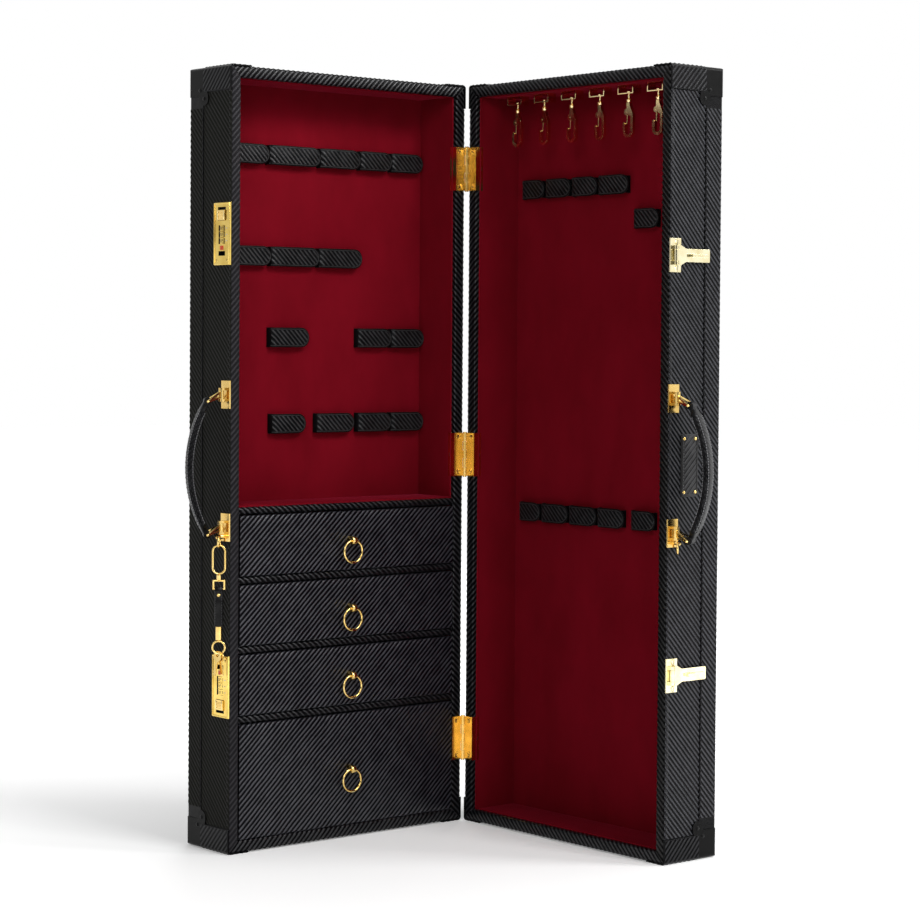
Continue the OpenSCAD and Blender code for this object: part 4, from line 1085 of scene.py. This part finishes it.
def name_tag():
    b = Builder("right")
    low, high = MID - 33.5, MID + 33.5
    d0, d1 = 21.0, 46.0
    slab(b.use(1), (SIDE_1 + 0.02, SIDE_1 + 1.5), (d0, d1), (low, high), 0.6)
    area = (low + 3.0, high - 3.0, d0 + 4.6, d1 - 2.2)
    ribbed(b.use(0), rectangle(*area, 8), 45, on_side(1.4), relief=0.45)
    for d in (d0 + 1.6, d1 - 1.2):
        tube(b.use(1), [(SIDE_1 + 1.3, d, z) for z in (low + 1.4, high - 1.4)], 1.0, 10)
    ends = [(SIDE_1 + 1.72, d0 + 3.6, z) for z in (low + 1.5, high - 1.5)]
    seam(b.use(3), *ends, (1, 0, 0), 3, 2.1, 0.22)
    for d in (d0 + 4, d1 - 4):
        for z in (low + 5, high - 5):
            dome(b.use(2), (SIDE_1 + 1.7, d, z), (1, 0, 0), 1.9, 1.2, 5)
    materials = ["trim", "loop_edge", "gold", "thread"]
    b.make("name_tag_leather", materials, ["name_tag"])


# Key strap: folded leather in the clip, with stitches down both edges and a snap button

KEY_STRAP_TOP = 55.15
KEY_STRAP_H = 42


def key_strap():
    b = Builder()
    pivot = Vector((SIDE_1 + 9, MOUNT_D, MID - MOUNT_OFF - 9.4))
    turn = radians(45)
    ex = Vector((cos(turn), sin(turn), 0))
    ey = Vector((-sin(turn), cos(turn), 0))
    top = -KEY_STRAP_TOP
    low = top - KEY_STRAP_H

    def at(x, y, z):
        return pivot + ex * x + ey * y + Vector((0, 0, z))

    for side in (-1, 1):
        path = [at(0, side * 0.55, top), at(0, side * 1.25, top - 3)]
        path += [at(0, side * 1.3, top - 4 - 34 * i / 8) for i in range(9)]
        path.append(at(0, side * 1.2, low))
        strap(b.use(0), path, ex, 9, 2.1)
        for x in (-3.4, 3.4):
            ends = [at(x, side * 2.36, z) for z in (top - 3, low + 2)]
            seam(b.use(1), *ends, ey * side, 2.8, 2.0, 0.22)
        dome(b.use(2), at(0, side * 2.3, top - 8), ey * side, 1.9, 1.0)
    name = "key_strap"
    b.make(name + "_leather", ["key", "dark_thread", "gold"], [name], name)


# Number wheels: gold drums with dark numbers

WHEEL_R = 5.75
DIGIT_W = 1.7
DIGIT_H = 1.5
HALF_STROKE = 0.22
# Corners in a number's cell, and the lines of each number from corner to corner
CORNERS = {
    "a": (0, 2), "b": (1, 2), "c": (0, 1), "d": (1, 1), "e": (0, 0),
    "f": (1, 0), "g": (0.4, 0), "h": (0.5, 0), "i": (0.5, 2), "j": (0.1, 1.6),
}
DIGITS = ["eabfe", "hij", "abdcef", "abf cd ef", "acd bf", "bacdfe", "baefdc", "abg", "eabfe cd", "dcabfe"]


def dial(word, k):
    """One wheel and the numbers around it."""
    b = Builder()
    lock_z, flip = LOCKS[word]
    z = lock_z + flip * (WHEELS_OFF + (1 - k) * WHEEL_PITCH)
    centre = Vector((SIDE_1 + 3.4 - WHEEL_R, LOCK_D, 0))

    def bar_end(digit, x, y, upright):
        a = radians(digit * 36 + 18) + (x - 0.5) * DIGIT_W / WHEEL_R
        out = Vector((cos(a), sin(a), 0))
        side = Vector((-sin(a), cos(a), 0))
        across = side if upright else Vector((0, 0, 1))
        middle = centre + out * WHEEL_R
        middle.z = z + (y - 1) * DIGIT_H
        corners = ((-1, -0.1), (1, -0.1), (1, 0.06), (-1, 0.06))
        return [middle + across * HALF_STROKE * s + out * h for s, h in corners]

    for digit, lines in enumerate(DIGITS):
        for line in lines.split():
            for p, q in zip(line, line[1:]):
                ends = CORNERS[p], CORNERS[q]
                upright = ends[0][0] == ends[1][0]
                sweep(b, [bar_end(digit, x, y, upright) for x, y in ends])
    name = "%s_dial_%d" % (word, k + 1)
    b.make(name + "_numbers", ["black"], body=name)
    refined(name, name, "lock_gold", 0.2)


def lock_details():
    """A red mark, a raised edge, an index mark beside each wheel and two screws on each lock."""
    b = Builder()
    frame_d = 13.6
    frame_z = 33.2
    for z, flip in LOCKS.values():
        slab(b.use(0), (SIDE_1 + 1.4, SIDE_1 + 2.6), span(LOCK_D, 3.0), span(z - flip * 15, 2.3), 0.3)
        edge = (SIDE_1 + 1.9, SIDE_1 + 2.9)
        for s in (-1, 1):
            slab(b.use(1), edge, span(LOCK_D + s * frame_d, 0.8), span(z, frame_z), 0.4)
        for s in (-1, 1):
            slab(b, edge, span(LOCK_D, frame_d), span(z + s * (frame_z - 0.8), 0.8), 0.4)
        for k in (-1, 0, 1):
            level = z + flip * (WHEELS_OFF + k * WHEEL_PITCH)
            slab(b.use(3), (SIDE_1 + 2.15, SIDE_1 + 2.35), span(LOCK_D - 9, 1.2), span(level, 0.4), 0.1)
        for s in (-1, 1):
            screw(b, (SIDE_1 + 2.2, LOCK_D + s * 9.5, z - flip * 28.5), (1, 0, 0), 1.8, 0.4)
    b.make("lock_details", ["red_dot", "lock_gold", "black", "white"])


def button_bars():
    """Two raised bars on each lock's button."""
    for word, (lock_z, flip) in LOCKS.items():
        b = Builder()
        z = lock_z + flip * 20
        for s in (-1, 1):
            slab(b, (SIDE_1 + 3.5, SIDE_1 + 4.0), span(LOCK_D + s * 5.6, 0.7), span(z, 4.8), 0.3)
        b.make(word + "_button_bars", ["pale_gold"], body=word + "_lock_button")


def hasp_slots():
    """Slots in the screws of the hasps' bases, painted black as shade."""
    b = Builder("right")
    for z in HASP_ZS:
        for s in (-1, 1):
            screw_slot(b, (SIDE_1 + 2.5, 11.5, z + s * 14.2), (1, 0, 0), 2.9, 0.08)
    b.make("hasp_screw_slot_shade", ["black"])


# How far each rivet of a cap is from the case's back or side, and from its end
CAP_RIVETS = [(19.8, 24.7), (27.5, 34.0)]


def fasteners(half):
    """The rivets of the caps and the screws of the hinges."""
    b = Builder(half)
    for at_floor in (True, False):
        for way, side in ((1, SIDE_1), (-1, SIDE_0)):
            for inward, up in CAP_RIVETS:
                z = up if at_floor else CASE_H - up
                spot = (side + way * CORNER_T, CASE_D - inward, z)
                dome(b.use(0), spot, (way, 0, 0), 2.3, 1.1)
                dome(b, (side - way * inward, CASE_D + CORNER_T, z), (0, 1, 0), 2.3, 0.8)
    for z in HINGE_ZS:
        for s in (-20, 20):
            screw(b, (SIDE_0 + 6.6, RIM_FRONT - 0.8, z + s), (0, -1, 0), 2.5, 0.25)
        screw(b, (IN_0 + 0.8, RIM_BACK + 1.8, z), (1, 0, 0), 2.2, 0.25)
    name = half + "_rivets_and_screws"
    b.make(name, ["cap", "gold", "black"], [half + "_fasteners"])


# All pieces, in their order

for build in (case_leather, rim):
    for half in HALVES:
        build(half)
boards()
for number in range(4):
    drawer(number)
for build in (lining, loops, grip):
    for half in HALVES:
        build(half)
name_tag()
key_strap()
for word in LOCKS:
    for k in range(3):
        dial(word, k)
lock_details()
button_bars()
hasp_slots()
for number in range(4):
    ring_joint(number)
for half in HALVES:
    fasteners(half)


# Metal fittings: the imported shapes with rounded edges

for half in HALVES:
    refined(half + "_hinge_leaves", half + "_case", "hinge_gold", 0.3)
# The lock's faces inside the case wall, in its pocket, are painted black: painted shade in the recess
inside_plate = (AXIS - SIDE_1 + 0.4) * MM
refined("lock_plates", "left_case", "lock_gold", 0.35, dark=lambda middle: middle.x > inside_plate)
refined("hasp_bases", "right_case", "hasp_gold", 0.25)
for half in HALVES:
    refined(half + "_handle_mounts", half + "_case", "mount_gold", 0.4)
refined("hook_brackets", "right_case", "hook_gold", 0.3)
for word in LOCKS:
    refined(word + "_hasp", word + "_hasp", "hasp_gold", 0.3)
    refined(word + "_lock_button", word + "_lock_button", "gold", 0.25)
for number in range(1, 7):
    for name, bevel in (("snap_hook_%d", 0.5), ("hook_gate_%d", 0.3)):
        refined(name % number, name % number, "hook_gold", bevel)

for half in HALVES:
    paint(half + "_lining", "velvet")
    paint(half + "_shell", "panel")
    paint(half + "_leather_trim", "trim")
    paint(half + "_corner_caps", "cap")
    paint(half + "_handle_links", "gold")
for number in range(1, 5):
    paint("pull_ring_%d" % number, "gold")
paint("hinge_pins", "gold")
paint("key_strap_hardware", "gold")


# Camera and light

CAMERA_AT = (-1724.1, -2052.7, 552.6)
CAMERA_ANGLES = (40.273, -1.817, 0.405)
TO_CAMERA = (-0.646, -0.763, 0.03)
LENS = 97.77
SHIFT_UP = -0.04


def set_camera():
    yaw, pitch, roll = (radians(angle) for angle in CAMERA_ANGLES)
    data = bpy.data.cameras.new("camera")
    data.sensor_width = 36
    data.lens = LENS
    data.shift_y = SHIFT_UP
    data.clip_start = 0.05
    data.clip_end = 50
    camera = add_object("camera", data)
    turn = Matrix.Rotation(-yaw, 4, "Z") @ Matrix.Rotation(pi / 2 + pitch, 4, "X")
    turn @= Matrix.Rotation(roll, 4, "Z")
    camera.matrix_world = Matrix.Translation(Vector(CAMERA_AT) * MM) @ turn
    bpy.context.scene.camera = camera


# Place, target, width and height, power
LAMPS = {
    "key": ((0.3, -2.6, 2.7), (0, 0.1, 0.6), (1.3, 1.1), 60),
    "side": ((1.45, -1.55, 1.8), (0.1, 0, 0.75), (0.7, 0.9), 25),
    "front": ((-2.3, -1.9, 1.8), (0.1, 0.1, 0.45), (1.0, 1.2), 26),
    "back": ((1.9, 2.4, 1.9), (0.1, 0.1, 0.45), (1.2, 1.2), 30),
}


def area_light(name, location, target, size, power):
    data = bpy.data.lights.new(name, "AREA")
    data.shape = "RECTANGLE"
    data.size, data.size_y = size
    data.energy = power
    lamp = add_object(name, data)
    lamp.location = location
    lamp.rotation_euler = (Vector(target) - Vector(location)).to_track_quat("-Z", "Y").to_euler()


def by_ray(tree, usual, others):
    """Mixes in other shaders for some kinds of rays."""
    path = add_node(tree, "LightPath")
    last = usual
    for kind, shader in others:
        mix = add_node(tree, "MixShader")
        link(path, kind, mix, 0)
        link(last, 0, mix, 1)
        link(shader, 0, mix, 2)
        last = mix
    return last


def set_light():
    """A white backdrop for the camera, and a softer world that is darker at the left.

    Behind the camera, what metal mirrors is dark, so that round metal has a dark core."""
    world = bpy.data.worlds.new("studio")
    bpy.context.scene.world = world
    world.use_nodes = True
    tree = world.node_tree
    soft = tree.nodes["Background"]
    coords = add_node(tree, "TexCoord")
    split = add_node(tree, "SeparateXYZ")
    link(coords, "Generated", split, 0)

    def side_range(low, high):
        return map_range(split, "X", low, high, -0.7, 0.6, "SMOOTHSTEP")

    link(side_range(0.22, 0.6), "Result", soft, "Strength")
    behind = add_node(tree, "VectorMath", operation="DOT_PRODUCT")
    behind.inputs[1].default_value = TO_CAMERA
    link(coords, "Generated", behind, 0)
    shade = map_range(behind, "Value", 1.0, 0.08, 0.66, 0.95, "SMOOTHSTEP")
    product = add_node(tree, "Math", operation="MULTIPLY")
    link(side_range(0.8, 1.1), "Result", product, 0)
    link(shade, "Result", product, 1)
    mirrored = add_node(tree, "Background")
    link(product, "Value", mirrored, "Strength")
    white = add_node(tree, "Background")
    for node in (soft, mirrored, white):
        node.inputs["Color"].default_value = (1, 1, 1, 1)
    others = [("Is Glossy Ray", mirrored), ("Is Transmission Ray", white), ("Is Camera Ray", white)]
    link(by_ray(tree, soft, others), 0, tree.nodes["World Output"], 0)
    for name, values in LAMPS.items():
        area_light(name, *values)


def floor_material():
    """White, like the backdrop, and a little darker around the object: its glow is painted weaker there, a
    painted shadow on top of the real shade.
    """
    mat = bpy.data.materials.new("studio_floor")
    mat.use_nodes = True
    tree = mat.node_tree
    tree.nodes.clear()
    diffuse = add_node(tree, "BsdfDiffuse")
    diffuse.inputs["Color"].default_value = (0.9, 0.9, 0.9, 1)
    glow = add_node(tree, "Emission")
    glow.inputs["Color"].default_value = (1, 1, 1, 1)
    coords = add_node(tree, "TexCoord")
    reach = add_node(tree, "VectorMath", operation="LENGTH")
    link(coords, "Object", reach, 0)
    # The glow grows weaker near the object: a painted shadow
    painted_shadow_glow = map_range(reach, "Value", 0.16, 0.62, 0.2, 1.3, "SMOOTHSTEP")
    link(painted_shadow_glow, "Result", glow, "Strength")
    both = add_node(tree, "AddShader")
    link(diffuse, 0, both, 0)
    link(glow, 0, both, 1)
    kinds = ("Is Camera Ray", "Is Glossy Ray", "Is Transmission Ray")
    output = add_node(tree, "OutputMaterial")
    link(by_ray(tree, diffuse, [(kind, both) for kind in kinds]), 0, output, 0)
    return mat


def set_floor():
    mesh = bpy.data.meshes.new("studio_floor")
    size = 12.0
    corners = [(-size, -size, 0), (size, -size, 0), (size, size, 0), (-size, size, 0)]
    mesh.from_pydata(corners, [], [(0, 1, 2, 3)])
    mesh.materials.append(floor_material())
    floor = add_object("studio_floor", mesh)
    floor.location.z = -0.0005


set_camera()
set_light()
set_floor()
bpy.context.scene.view_settings.view_transform = "Standard"
